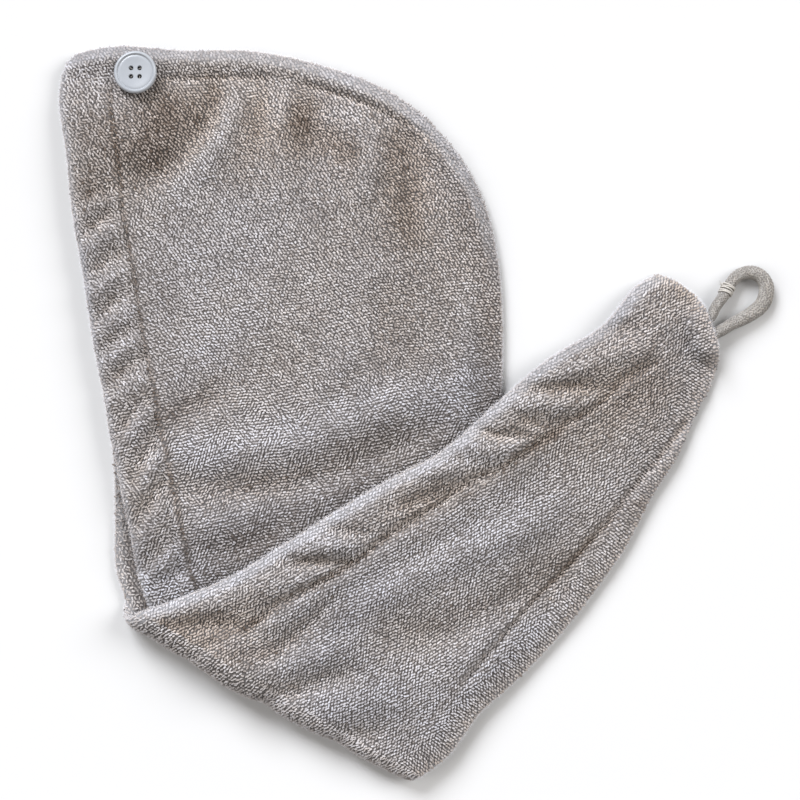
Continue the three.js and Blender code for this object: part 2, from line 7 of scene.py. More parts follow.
import bmesh
import bpy
import numpy as np
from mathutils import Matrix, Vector
from mathutils.bvhtree import BVHTree


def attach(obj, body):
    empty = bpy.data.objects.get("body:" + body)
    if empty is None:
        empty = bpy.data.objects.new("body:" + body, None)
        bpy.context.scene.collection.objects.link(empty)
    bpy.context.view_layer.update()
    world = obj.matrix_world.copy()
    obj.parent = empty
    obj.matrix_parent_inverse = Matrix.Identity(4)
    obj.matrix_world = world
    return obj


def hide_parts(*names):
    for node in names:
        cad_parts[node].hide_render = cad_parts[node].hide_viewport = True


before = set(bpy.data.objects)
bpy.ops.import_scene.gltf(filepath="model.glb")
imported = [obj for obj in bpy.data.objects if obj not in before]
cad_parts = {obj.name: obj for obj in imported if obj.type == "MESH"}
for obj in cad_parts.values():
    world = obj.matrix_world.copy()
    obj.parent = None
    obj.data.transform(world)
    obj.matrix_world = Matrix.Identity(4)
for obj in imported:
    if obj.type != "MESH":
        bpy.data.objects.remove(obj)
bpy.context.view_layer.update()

MM = 0.001
BODY = "root"

# The CAD part's origin, seen from the origin of the tables below.
ORIGIN = (-0.365, 1.010, 0.0)

# Picture: the camera looks straight down on this point.
CAMERA_AIM = (0.0064, 0.0071)
CAMERA_HEIGHT = 1.6
VIEW_WIDTH = 0.445
VIEW_LEVEL = 0.015
SENSOR_WIDTH = 36

# Cloth: its thickness, and its edges, which are rounded over a width and to a depth
CLOTH = 3.0
HEM_EXTRA = 1.0
HEM_WIDTH = 29.0
SEAM_GAP = 0.3
SEAM_ROUNDING = (8.0, 2.0)
HEM_ROUNDING = (4.0, 1.3)
HEM_ROLL = 3.1
HEM_ROLL_WIDTH = 11.0
PILE_SINK = 0.9
RIM_INSET = 0.9

# The button's corner is blunt.
CORNER = (-182, 200)
CORNER_ROUND = 1.8
CORNER_REACH = 6

# Hollows between the two panels
HOOD_GAP = 6.0
TAIL_GAP = 5.4
FOLD_GAP = 2.5
FOLD_BULGE = {"x": -80, "y": -146, "height": 3, "width": 32}
HOOD_SEAM_RAMP = 60
TAIL_SEAM_RAMP = 32
FOLD_RAMP = 55
HEM_RAMP = 12

# The fold
FOLD_INNER_RADIUS = 0.45
FOLD_OUTWARD = np.array([-0.513, -0.859])
DROOP_LENGTH = 45

# Relief on the faces that show. A dent may use up a share of the gap below it that is past 1 mm.
LEAST_CLOTH = 0.9
GAP_SHARE = 0.45
HEM_PUFF = 1.3
HOOD_STITCH_DEPTH = 1.5
TAIL_STITCH_DEPTH = 0.3
STITCH_WIDTH = 2.2
SEAM_BAND = 14.5
SEAM_PUFF = 1.8
COVER_FADE = 14

# Loop
CORD_DIAMETER = 7.6
CORD_CLEARANCE = 0.35
LEG_HEIGHT = CLOTH + CORD_CLEARANCE + CORD_DIAMETER / 2
TABLE_HEIGHT = CORD_DIAMETER / 2 + 0.1
POCKET_CORE = 5
POCKET_FADE = 11

# Sections from the button's corner to the fold: a point on the opening edge, a point on the seam, and how
# far the front hem stands back from the back hem.
HOOD_SECTIONS = [
    ((-182, 200), (20, 166.5), 0),
    ((-185, 175), (41, 142), 0),
    ((-181, 148), (54, 116), 0),
    ((-177, 110), (61, 86), 0),
    ((-171, 76), (63.5, 52), 0),
    ((-166, 42), (63.3, 20), 0),
    ((-159.5, 9), (61, -17), 0),
    ((-155, -24), (57.5, -52), 0),
    ((-154, -54), (51, -93), 5),
    ((-153.5, -85), (38, -144), 13),
    ((-148, -103.3), (8.3, -196.5), 18),
]
TAIL_SECTIONS = [
    ((-138, -109.3), (18, -202.3), 10),
    ((-112, -100), (34, -190), 4),
    ((-87, -89), (50, -168), 3),
    ((-60, -72.5), (74, -146.5), 3),
    ((-30, -53.5), (98, -121), 3),
    ((0, -35.5), (116, -98), 3),
    ((29, -20), (132.5, -74), 3),
    ((58, 5.5), (147, -46), 2),
    ((88, 31), (160, -25), 1),
    ((118, 49), (169, -5), 0),
    ((138, 72), (174, 6), 0),
    ((150.5, 79), (177.4, 12), 0),
]
CROWN_EDGE = [
    (-182, 200), (-168, 203.8), (-149, 206.5), (-117, 204.3),
    (-75, 203.5), (-32, 193.8), (-3, 182.3), (20, 166.5),
]
FOLD_LINE_HOOD = [(-148, -103.3), (8.3, -196.5)]
FOLD_LINE_TAIL = [(-138, -109.3), (18, -202.3)]
TIP_EDGE = [
    (150.5, 79), (161, 74.5), (173.5, 64.5), (180, 51), (184.3, 34), (182.2, 24), (177.4, 12),
]

# Folds and dents that show, as height, width and a line along each. A negative height is a dent.
HOOD_HEM_FOLDS = [
    (1.6, 4, [(-170, 111), (-162, 118), (-153, 120)]),
    (1.8, 4, [(-170, 89), (-161, 97), (-151, 104)]),
    (2.0, 4, [(-165, 66), (-157, 73), (-148, 80)]),
    (2.0, 4, [(-162, 43), (-154, 51), (-144, 57)]),
    (2.0, 4, [(-158, 26), (-151, 33), (-142, 40)]),
    (1.8, 4, [(-154, 7), (-145, 15), (-138, 20)]),
    (2.2, 4, [(-148, -19), (-142, -9), (-134, 1)]),
    (2.2, 4, [(-138, -43), (-133, -32), (-127, -23)]),
    (2.2, 4, [(-141, -81), (-134, -64), (-128, -50)]),
    (2.0, 4, [(-134, -92), (-125, -83), (-116, -75)]),
    (-1.6, 4, [(-171, 119), (-152, 126)]),
    (-1.6, 3.5, [(-172, 97), (-162, 107), (-154, 113)]),
    (-2.2, 4, [(-168, 76), (-157, 85), (-146, 93)]),
    (-2.2, 4, [(-165, 51), (-156, 60), (-146, 68)]),
    (-1.5, 3.5, [(-162, 31), (-154, 40), (-145, 48)]),
    (-2.2, 4, [(-156, 15), (-147, 25), (-137, 33)]),
    (-2.2, 3.5, [(-152, -13), (-145, -2), (-137, 7)]),
    (-2.6, 4, [(-142, -36), (-137, -25), (-130, -11)]),
    (-2.6, 4, [(-140, -61), (-133, -49), (-126, -39)]),
    (-1.4, 4, [(-137, -85), (-127, -76), (-119, -69)]),
    (-1.6, 4, [(-130, -95), (-121, -91), (-111, -84)]),
]
HOOD_FACE_FOLDS = [
    (3.2, 6, [(-86, 180), (-87, 167), (-93, 153), (-102, 136)]),
    (-3.4, 8, [(-96, 179), (-100, 163), (-111, 150), (-125, 136), (-141, 128)]),
    (2.6, 5, [(-59, 180), (-60, 165)]),
    (-2.2, 5, [(-71, 182), (-71, 164), (-73, 147)]),
    (-3.2, 7, [(-43, 168), (-39, 158), (-24, 147)]),
    (3.0, 6, [(-7, 154), (-9, 139), (-13, 125)]),
    (-2.8, 7, [(12, 153), (15, 125), (11, 107)]),
    (1.4, 6, [(37, 153), (45, 133)]),
    (2.3, 9, [(-110, -25), (-77, -20), (-49, -16), (-27, -8), (6, 7), (17, 13)]),
    (-2.6, 8, [(-113, -41), (-83, -42), (-55, -40), (-27, -31), (-2, -21), (23, -10)]),
    (-1.8, 7, [(-122, -6), (-108, 4), (-91, 13)]),
    (1.6, 7, [(-112, -63), (-91, -59), (-69, -52)]),
    (-2.0, 6, [(-110, -77), (-83, -77), (-55, -64)]),
    (1.8, 6, [(44, 69), (44, 41), (43, 5)]),
    (1.2, 7, [(-22, 74), (5, 79)]),
    (1.2, 6, [(-36, 16), (-24, 29), (-15, 40)]),
    (1.2, 7, [(-71, 64), (-74, 41)]),
    (-1.0, 7, [(1, 69), (-5, 30)]),
]
TAIL_CREASE = [
    (-80, -120), (-61, -104), (-33, -90), (-16, -79), (3, -64), (28, -49), (39, -40),
    (62, -29), (84, -15), (98, -5), (115, 4), (131, 19), (146, 28),
]
TAIL_HEM_FOLDS = [
    (-2.7, 3.3, TAIL_CREASE),
    (3.0, 5, [(-49, -73), (-19, -74)]),
    (-3.0, 3.5, [(-58, -81), (-38, -82), (-19, -80)]),
    (-2.4, 3.5, [(-37, -63), (-15, -65)]),
    (2.0, 5, [(-71, -98), (-38, -88)]),
    (-2.4, 5, [(1, -51), (28, -45), (33, -41)]),
    (2.6, 4, [(17, -33), (41, -29)]),
    (2.8, 4.5, [(37, -17), (56, -21), (73, -18)]),
    (-3.2, 3.5, [(46, -8), (62, -12), (80, -12)]),
    (2.4, 5, [(64, 4), (84, 6), (109, 4)]),
    (-2.4, 4, [(68, 3), (78, -6), (95, -5)]),
    (-3.2, 4, [(74, 14), (101, 16), (120, 14)]),
    (2.4, 5, [(87, 19), (112, 27), (140, 37)]),
    (-1.4, 4, [(117, 46), (140, 49)]),
    (1.4, 5, [(117, 50), (145, 64)]),
    (-2.0, 5, [(-133, -119), (-105, -115), (-77, -118)]),
    (1.8, 5, [(-133, -109), (-105, -107), (-83, -102)]),
]
TAIL_FACE_FOLDS = [
    (3.0, 9, [(-24, -108), (6, -96), (34, -81), (62, -70), (98, -52)]),
    (-2.8, 10, [(1, -125), (37, -121), (62, -106), (88, -93)]),
    (2.0, 6, [(-97, -139), (-71, -143), (-49, -138), (-24, -128)]),
    (-3.0, 5, [(-77, -160), (-55, -155), (-36, -148), (-21, -143)]),
    (-2.2, 5, [(-71, -135), (-55, -126), (-39, -111), (-30, -101)]),
    (-1.6, 5, [(-113, -134), (-97, -128)]),
    (2.6, 10, [(-49, -168), (-22, -162), (17, -153)]),
    (-2.2, 6, [(-49, -179), (-27, -180), (-5, -177)]),
    (-1.4, 9, [(112, -9), (145, 14)]),
]
SEAM_CREASES = [
    (-3.0, 2.3, [(168, -2), (159, -14), (145, -31), (131, -48), (123, -59), (112, -71), (97, -88),
     (81, -103), (62, -125), (41, -149)]),
    (-2.6, 1.8, [(-130, 187), (-102, 188), (-67, 188)]),
    (-2.4, 1.8, [(-46, 184), (-24, 178), (-5, 170)]),
    (-1.4, 2.2, [(-5, 170), (17, 159), (41, 137)]),
]
TAIL_SEAM_ROLL = [(1.5, 6, [(176, 8), (155, -25), (138, -50), (120, -81), (101, -106), (73, -134)])]
HOOD_FOLDS = HOOD_HEM_FOLDS + HOOD_FACE_FOLDS + SEAM_CREASES
TAIL_FOLDS = TAIL_HEM_FOLDS + TAIL_FACE_FOLDS + SEAM_CREASES + TAIL_SEAM_ROLL

# Painted light and shade on the pile: where it is coloured darker (negative) or lighter, in the same form.
HOOD_PAINTED_SHADE = [
    (0.14, 8, [(-176, 192), (-158, 191)]),
    (-0.36, 17, [(-125, 167), (-133, 147)]),
    (-0.17, 13, [(-163, 158), (-155, 142), (-166, 128)]),
    (-0.16, 8, [(-101, 175), (-105, 164)]),
    (-0.4, 8, [(-49, 168), (-49, 163)]),
    (-0.22, 9, [(-50, 150), (-33, 152), (-24, 145)]),
    (-0.22, 11, [(3, 150), (6, 125), (12, 100)]),
    (-0.07, 12, [(3, 71), (5, 24)]),
    (-0.1, 7, [(-77, 169), (-83, 130)]),
    (0.15, 9, [(-91, 172), (-97, 150), (-116, 125)]),
    (0.12, 8, [(-65, 179), (-63, 169)]),
    (0.1, 9, [(-33, 168), (-8, 164)]),
    (0.08, 30, [(-94, 103), (-105, 47)]),
    (0.14, 14, [(-100, 38), (-75, 57)]),
    (-0.13, 13, [(-121, 70), (-120, 58)]),
    (0.18, 10, [(-108, -16), (-72, -10), (-27, 4), (3, 13)]),
    (-0.1, 9, [(-75, -38), (-55, -34), (-30, -23), (1, -6)]),
    (-0.1, 9, [(-102, -73), (-77, -70)]),
    (-0.12, 8, [(-121, 0), (-100, 16)]),
    (-0.14, 8, [(56, 62), (56, 47), (53, 11)]),
    (0.32, 9, [(-142, -96), (-127, -96)]),
    (0.2, 5, [(-159, 30), (-150, 38)]),
    (0.15, 8, [(-121, -21), (-106, -25)]),
    (-0.16, 6, [(-98, 187), (-96, 178)]),
    (0.1, 6, [(-127, 191), (-119, 190)]),
    (-0.08, 12, [(45, 103), (51, 80)]),
    (-0.15, 12, [(-100, -88), (-38, -50), (23, -8)]),
    (0.08, 5, [(-180, 175), (-176, 125), (-169, 75), (-162, 36)]),
    (0.06, 5, [(-88, 194), (-49, 190), (-5, 178), (28, 155)]),
]
TAIL_PAINTED_SHADE = [
    (-0.15, 3, TAIL_CREASE),
    (-0.12, 4, [(38, -46), (68, -33)]),
    (-0.1, 3, [(-50, -80), (-22, -81)]),
    (-0.2, 3.5, [(65, -30), (95, -10)]),
    (0.05, 80, [(-60, -125), (20, -110), (110, -30)]),
    (0.06, 11, [(-16, -95), (6, -85), (39, -61), (95, -45)]),
    (-0.14, 12, [(1, -115), (23, -117), (62, -99), (87, -85)]),
    (0.08, 12, [(-38, -158), (-5, -149), (34, -136)]),
    (-0.05, 7, [(-77, -153), (-45, -146)]),
    (-0.16, 7, [(-90, -138), (-66, -134), (-44, -115), (-28, -108)]),
    (-0.06, 6, [(-33, -175), (-15, -176)]),
    (-0.12, 6, [(-125, -120), (-77, -115)]),
    (-0.1, 7, [(28, -42), (12, -49)]),
    (-0.14, 15, [(100, -18), (130, 0), (150, 10)]),
    (-0.14, 5, [(97, -82), (139, -48)]),
    (0.22, 11, [(80, -121), (54, -141), (26, -172)]),
    (-0.22, 2, [(112, -71), (97, -88), (81, -103), (62, -125), (41, -149), (24, -169)]),
    (0.1, 9, [(-20, -166), (0, -160)]),
    (0.18, 4, [(44, -26), (64, -25)]),
    (-0.12, 5, [(92, 10), (110, 12)]),
    (-0.12, 5, [(-36, -92), (-14, -80)]),
    (0.12, 8, [(176, 36), (176, 20)]),
    (0.07, 5, [(-147, -105), (-116, -106), (-91, -98), (-71, -82), (-47, -67)]),
    (0.07, 5, [(-36, -56), (-11, -43), (6, -32), (20, -26), (44, -23)]),
    (0.08, 5, [(-47, -66), (-22, -73)]),
    (0.08, 5, [(35, -14), (62, 5), (95, 7)]),
    (-0.06, 5, [(106, 37), (134, 57), (150, 70)]),
]

# Painted tint of light and shade: where the pile is coloured cooler, as where it is lit, or warmer, as in
# shade, where the amount is below 0, in the same form.
HOOD_PAINTED_TINT = [
    (0.4, 22, [(-122, -88), (-118, -88)]),
    (0.5, 15, [(-105, -88), (-38, -48), (23, -6), (50, 16)]),
    (0.2, 25, [(-125, 90), (-125, 70)]),
    (0.15, 40, [(-125, 45), (-125, 35)]),
    (-0.35, 28, [(-65, 165), (-55, 165)]),
    (-0.25, 30, [(5, 155), (5, 145)]),
    (-0.3, 22, [(-122, 165), (-118, 165)]),
    (-0.15, 40, [(25, 115), (25, 105)]),
]
TAIL_PAINTED_TINT = [
    (0.3, 40, [(55, -63), (65, -57)]),
    (0.25, 40, [(-25, -102), (-15, -98)]),
    (0.25, 35, [(5, -167), (15, -163)]),
    (0.15, 30, [(58, -132), (62, -128)]),
    (-0.3, 22, [(-122, -120), (-118, -120)]),
    (-0.2, 25, [(-92, -136), (-88, -134)]),
    (-0.2, 20, [(138, 18), (142, 22)]),
]

# The cord's route: sewn between the panels at the tip, out, round the loop and back in.
LOOP_ROUTE = [
    (174.8, 50.1, LEG_HEIGHT), (179.3, 54, LEG_HEIGHT), (182.8, 60.4, 6.7), (187.3, 66.8, 6.0),
    (191.0, 73.2, 5.2), (195.4, 77.8, TABLE_HEIGHT), (201.7, 79.6, TABLE_HEIGHT),
    (207.4, 77.9, TABLE_HEIGHT), (210.9, 73.1, TABLE_HEIGHT), (211.2, 68.1, TABLE_HEIGHT),
    (209.3, 62.3, TABLE_HEIGHT), (204.9, 57.9, TABLE_HEIGHT), (198.5, 54, 4.2), (192.1, 50.9, 5.1),
    (186.3, 47.4, 6.4), (182.5, 45.4, LEG_HEIGHT), (178, 41.5, LEG_HEIGHT),
]


def smooth(value):
    t = np.clip(value, 0, 1)
    return t * t * (3 - 2 * t)


def mix(first, second, share):
    return first + (second - first) * share


def bell(distance, width):
    return np.exp(-((distance / width) ** 2))


def unit(vectors):
    return vectors / np.maximum(np.linalg.norm(vectors, axis=-1, keepdims=True), 1e-9)


def lying(turn, rise=0.0):
    """Level ways at these angles, in radians, that may rise a little."""
    return np.column_stack([np.cos(turn), np.sin(turn), np.full(len(turn), rise)])


def turned(first, second, turn):
    """Ways at these angles from a first way towards a second."""
    return np.cos(turn) * first + np.sin(turn) * second


def sideways(ahead):
    """The level way across a line, and the way up from it."""
    across = unit(np.cross(ahead, (0, 0, 1)))
    return across, np.cross(across, ahead)


# Curves


def smooth_line(points, steps=24):
    """A dense line through the points: a centripetal Catmull-Rom spline, as in the CAD part."""
    points = np.array(points, float)
    ends = [2 * points[0] - points[1], *points, 2 * points[-1] - points[-2]]
    share = np.linspace(0, 1, steps, endpoint=False)[:, None]
    line = []
    for p0, p1, p2, p3 in zip(ends, ends[1:], ends[2:], ends[3:]):
        d0, d1, d2 = (math.sqrt(np.linalg.norm(b - a)) for a, b in ((p0, p1), (p1, p2), (p2, p3)))
        first = ((p1 - p0) / d0 - (p2 - p0) / (d0 + d1) + (p2 - p1) / d1) * d1
        last = ((p2 - p1) / d1 - (p3 - p1) / (d1 + d2) + (p3 - p2) / d2) * d1
        square = share**2
        cube = share**3
        line.append(
            p1 + first * share
            + (3 * (p2 - p1) - 2 * first - last) * square
            + (2 * (p1 - p2) + first + last) * cube
        )
    line.append(points[-1:])
    return np.concatenate(line)


class Curve:
    """A smooth line that is read by its share of the whole length."""

    def __init__(self, points):
        self.line = smooth_line(points)
        steps = np.linalg.norm(np.diff(self.line, axis=0), axis=1)
        self.travelled = np.concatenate([[0], np.cumsum(steps)])
        self.length = self.travelled[-1]

    def at(self, share):
        along = np.clip(share, 0, 1) * self.length
        return np.stack([np.interp(along, self.travelled, column) for column in self.line.T], axis=-1)

    def samples(self, count=100):
        return self.at(np.linspace(0, 1, count + 1))


class Patch:
    """Half of the towel's plan, between an opening edge, a seam, a start and an end."""

    def __init__(self, sections, start, end):
        self.open = Curve([row[0] for row in sections])
        self.seam = Curve([row[1] for row in sections])
        self.start = Curve(start)
        self.end = Curve(end)
        self.insets = [row[2] for row in sections]
        self.length = (self.open.length + self.seam.length) / 2

    def width(self, along):
        return np.linalg.norm(self.open.at(along) - self.seam.at(along), axis=-1)

    def inset(self, along):
        return np.interp(along * (len(self.insets) - 1), np.arange(len(self.insets)), self.insets)

    def point(self, along, across):
        start, end = self.start.at(across), self.end.at(across)
        along, across = along[..., None], across[..., None]
        edges = mix(self.open.at(along[..., 0]), self.seam.at(along[..., 0]), across) + mix(start, end, along)
        first = mix(self.start.line[0], self.start.line[-1], across)
        last = mix(self.end.line[0], self.end.line[-1], across)
        return edges - mix(first, last, along)


HOOD = Patch(HOOD_SECTIONS, CROWN_EDGE, FOLD_LINE_HOOD)
TAIL = Patch(TAIL_SECTIONS, FOLD_LINE_TAIL, TIP_EDGE)
HOOD_OPEN = HOOD.open.samples()
TAIL_OPEN = TAIL.open.samples()
HOOD_SEAM = np.concatenate([HOOD.start.samples(), HOOD.seam.samples()])
TAIL_SEAM = np.concatenate([TAIL.seam.samples(), TAIL.end.samples()[::-1]])
FOLD_LINE = np.array(FOLD_LINE_HOOD, float)
BEYOND_FOLD = FOLD_LINE[::-1] + FOLD_OUTWARD * FOLD_RAMP
HOOD_OUTLINE = np.concatenate([HOOD_SEAM, BEYOND_FOLD, HOOD_OPEN[::-1]])
HOOD_HOLLOW = (HOOD_GAP, HOOD_SEAM_RAMP, HOOD_SEAM, HOOD_OPEN)
TAIL_HOLLOW = (TAIL_GAP, TAIL_SEAM_RAMP, TAIL_SEAM, TAIL_OPEN)


def from_segment(start, end, x, y):
    run_x, run_y = end[0] - start[0], end[1] - start[1]
    share = ((x - start[0]) * run_x + (y - start[1]) * run_y) / (run_x**2 + run_y**2)
    held = np.clip(share, 0, 1)
    return np.hypot(x - start[0] - run_x * held, y - start[1] - run_y * held)


def from_line(line, x, y):
    """Distances from a line of straight parts."""
    nearest = np.full(np.shape(x), np.inf)
    for start, end in zip(line[:-1], line[1:]):
        if not np.allclose(start, end):
            nearest = np.minimum(nearest, from_segment(start, end, x, y))
    return nearest


def is_inside(outline, x, y):
    inside = np.zeros(np.shape(x), bool)
    for (ax, ay), (bx, by) in zip(outline, np.roll(outline, -1, axis=0)):
        if ay == by:
            continue
        crosses = ((ay > y) != (by > y)) & (x < ax + (y - ay) * (bx - ax) / (by - ay))
        inside ^= crosses
    return inside


# Heights, as in the CAD part


def edge_round(from_edge, reach, depth):
    """How far a face falls away towards an edge."""
    t = np.clip(1 - from_edge / reach, 0, 1)
    return depth * (1 - np.sqrt(1 - t * t))


def hem_roll(from_opening):
    """How far a hem curls down towards its edge."""
    return HEM_ROLL * np.clip(1 - from_opening / HEM_ROLL_WIDTH, 0, 1) ** 2


def hem_share(from_opening):
    """1 in a hem and 0 beyond it."""
    return 1 - smooth((from_opening - HEM_WIDTH + 3) / 6)


def hem_space(from_opening):
    """The room that the two thicker hems need between the panels."""
    return 2 * HEM_EXTRA * (1 - smooth((from_opening - HEM_WIDTH - 4) / HEM_RAMP))


def loop_pocket(x, y):
    """The room that the cord's two legs need between the panels."""
    legs = (LOOP_ROUTE[:2], LOOP_ROUTE[-2:])
    nearest = np.minimum(*(from_segment(start, end, x, y) for start, end in legs))
    return (CORD_DIAMETER + 2 * CORD_CLEARANCE) * (1 - smooth((nearest - POCKET_CORE) / POCKET_FADE))


def hollow_gap(is_hood, x, y):
    """How far apart the two panels lie."""
    full_gap, seam_ramp, seam, opening = HOOD_HOLLOW if is_hood else TAIL_HOLLOW
    from_bulge = np.hypot(x - FOLD_BULGE["x"], y - FOLD_BULGE["y"])
    bulge = FOLD_BULGE["height"] * bell(from_bulge, FOLD_BULGE["width"])
    inner = mix(FOLD_GAP + bulge, full_gap, smooth(from_line(FOLD_LINE, x, y) / FOLD_RAMP))
    gap = mix(SEAM_GAP, inner, smooth(from_line(seam, x, y) / seam_ramp))
    gap = gap + hem_space(from_line(opening, x, y))
    return gap if is_hood else np.maximum(gap, loop_pocket(x, y))


def fold_axis(is_hood, x, y):
    """The height that the towel is folded round: the hood's own top, or what the tail lies on."""
    on_hood = 2 * CLOTH + hollow_gap(True, x, y) + FOLD_INNER_RADIUS
    if is_hood:
        return on_hood
    edge_height = 2 * CLOTH + SEAM_GAP + 2 * FOLD_INNER_RADIUS
    drooped = edge_height * (1 - smooth(from_line(HOOD_SEAM, x, y) / DROOP_LENGTH)) - FOLD_INNER_RADIUS
    return np.where(is_inside(HOOD_OUTLINE, x, y), on_hood, drooped)


def above_tail(x, y):
    """How far a place on the hood is from the tail's edge, up the picture."""
    return y - np.interp(x, TAIL_OPEN[:, 0], TAIL_OPEN[:, 1])


def streak(width, line, x, y):
    """1 along a line, less away from it, and weaker towards the line's two ends."""
    to_end = np.minimum(*(np.hypot(x - end_x, y - end_y) for end_x, end_y in (line[0], line[-1])))
    return bell(from_line(line, x, y), width) * mix(0.5, 1, smooth(to_end / (2.5 * width)))


def fold_relief(rows, x, y):
    """The highest of the folds at each place, and the deepest of the dents."""
    ridge = np.zeros(np.shape(x))
    dent = np.zeros(np.shape(x))
    for height, width, line in rows:
        shape = height * streak(width, line, x, y)
        ridge = np.maximum(ridge, shape)
        dent = np.minimum(dent, shape)
    return ridge + dent


def hem_relief(from_opening, stitch_depth):
    """A hem's puffed middle and its stitch line."""
    puff = HEM_PUFF * bell(from_opening - HEM_WIDTH / 2, HEM_WIDTH / 3)
    return puff - stitch_depth * bell(from_opening - HEM_WIDTH, STITCH_WIDTH)


def crown_share(y):
    """1 along the crown, where the seam makes a roll, and 0 further down the hood."""
    return smooth((y - 60) / 60)


def below_crown(y):
    """1 where the hem's stitches draw the pile in, and 0 where they meet the crown."""
    return smooth((188 - y) / 12)


def hood_relief(x, y, from_opening):
    from_seam = from_line(HOOD_SEAM, x, y)
    roll = SEAM_PUFF * bell(from_seam - SEAM_BAND / 2, SEAM_BAND / 3) * crown_share(y)
    stitched = hem_relief(from_opening, HOOD_STITCH_DEPTH * below_crown(y))
    total = fold_relief(HOOD_FOLDS, x, y) + stitched + roll
    return total * smooth((above_tail(x, y) - 2) / COVER_FADE)


def tail_relief(x, y, from_opening):
    return fold_relief(TAIL_FOLDS, x, y) + hem_relief(from_opening, TAIL_STITCH_DEPTH)


def carried_in(patch):
    """The front panel's opening edge, which stands back from the back panel's."""
    along = np.linspace(0, 1, 101)
    return patch.point(along, patch.inset(along) / patch.width(along))


FRONT_HOOD_OPEN = carried_in(HOOD)


class Field:
    """Values of a function of the plan, kept on a regular grid and read between its points."""

    STEP = 1.5
    LOW = np.array([-200.0, -225.0])
    HIGH = np.array([205.0, 225.0])

    def __init__(self, function):
        self.counts = np.ceil((self.HIGH - self.LOW) / self.STEP).astype(int) + 1
        xs, ys = (low + np.arange(count) * self.STEP for low, count in zip(self.LOW, self.counts))
        x, y = np.meshgrid(xs, ys, indexing="ij")
        self.values = function(x, y)
        self.slopes = np.gradient(self.values, self.STEP)

    def read(self, grid, x, y):
        at_x = np.clip((x - self.LOW[0]) / self.STEP, 0, self.counts[0] - 1.001)
        at_y = np.clip((y - self.LOW[1]) / self.STEP, 0, self.counts[1] - 1.001)
        i, j = at_x.astype(int), at_y.astype(int)
        u, v = at_x - i, at_y - j
        left = grid[i, j] * (1 - v) + grid[i, j + 1] * v
        right = grid[i + 1, j] * (1 - v) + grid[i + 1, j + 1] * v
        return left * (1 - u) + right * u

    def at(self, x, y):
        return self.read(self.values, x, y)

    def slope(self, x, y):
        return np.stack([self.read(grid, x, y) for grid in self.slopes], axis=-1)


RAY_HEIGHT = 60.0


class Surface:
    """A face of a panel, on which pile can be set."""

    def __init__(self, points, triangles):
        self.tree = BVHTree.FromPolygons(points.tolist(), triangles.tolist())

    def meet(self, starts, ways):
        """Where rays first meet the face, its normals there, and which rays meet it."""
        ways = np.broadcast_to(ways, starts.shape)
        places = np.zeros(starts.shape)
        normals = np.tile((0.0, 0.0, 1.0), (len(starts), 1))
        met = np.zeros(len(starts), bool)
        for index, (start, way) in enumerate(zip(starts.tolist(), ways.tolist())):
            place, normal, _, _ = self.tree.ray_cast(start, way)
            if place is not None:
                places[index] = place
                normals[index] = normal
                met[index] = True
        facing = np.sign((normals * ways).sum(1, keepdims=True))
        return places, -normals * facing, met

    def from_above(self, x, y):
        return self.meet(np.column_stack([x, y, np.full(len(x), RAY_HEIGHT)]), (0, 0, -1))


class Side:
    """The hood or the tail as it shows from above: outline, top face, and distances to its edges."""

    def __init__(self, open_line, seam_line, surface):
        self.outline = np.concatenate([open_line, seam_line[::-1]])
        self.from_open = Field(lambda x, y: from_line(open_line, x, y))
        self.from_seam = Field(lambda x, y: from_line(seam_line, x, y))
        self.surface = surface


# Meshes


def to_metres(points):
    return (np.asarray(points, float) - ORIGIN) * MM


def placed(name, data):
    """A new object in the scene."""
    item = bpy.data.objects.new(name, data)
    bpy.context.scene.collection.objects.link(item)
    return item


def new_piece(name, points, triangles, material, slot):
    """A smooth mesh object in its place, with points in the tables' millimetres."""
    triangles = np.asarray(triangles, np.int32)
    mesh = bpy.data.meshes.new(name)
    mesh.vertices.add(len(points))
    mesh.vertices.foreach_set("co", to_metres(points).astype(np.float32).ravel())
    mesh.loops.add(triangles.size)
    mesh.loops.foreach_set("vertex_index", triangles.ravel())
    mesh.polygons.add(len(triangles))
    mesh.polygons.foreach_set("loop_start", np.arange(len(triangles), dtype=np.int32) * 3)
    mesh.polygons.foreach_set("use_smooth", np.ones(len(triangles), bool))
    mesh.update(calc_edges=True)
    mesh.materials.append(material)
    piece = placed(name, mesh)
    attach(piece, BODY)
    return piece


def keep_values(piece, name, values):
    """A number at each point of a mesh, for its material to read."""
    attribute = piece.data.attributes.new(name, "FLOAT", "POINT")
    attribute.data.foreach_set("value", np.asarray(values, np.float32).ravel())


def grid_triangles(rows, columns):
    """Triangles of a grid of points that are numbered row by row."""
    a = (np.arange(rows - 1)[:, None] * columns + np.arange(columns - 1)).ravel()
    b, c, d = a + 1, a + columns, a + columns + 1
    return np.concatenate([np.stack([a, b, d], 1), np.stack([a, d, c], 1)])


def lathe(profile, sides, first_turn=0.0):
    """A closed solid of revolution about z, whose profile starts and ends on the axis."""
    turn = first_turn + np.arange(sides) * 2 * np.pi / sides
    ring = lying(turn, 1.0)
    rings = [ring * (across, across, up) for across, up in profile[1:-1]]
    ends = [np.array([(0, 0, up)]) for _, up in (profile[0], profile[-1])]
    return np.concatenate([ends[0], *rings, ends[1]]), ring_triangles(len(rings), sides)


def ring_triangles(rings, sides):
    """Triangles of a closed shape whose points are one end, then its rings, then the other end."""
    last = 1 + rings * sides
    triangles = []
    for side in range(sides):
        after = (side + 1) % sides
        triangles.append((0, 1 + after, 1 + side))
        triangles.append((last, last - sides + side, last - sides + after))
        for ring in range(rings - 1):
            a, b = 1 + ring * sides + side, 1 + ring * sides + after
            triangles += [(a, b, b + sides), (a, b + sides, a + sides)]
    return np.array(triangles)


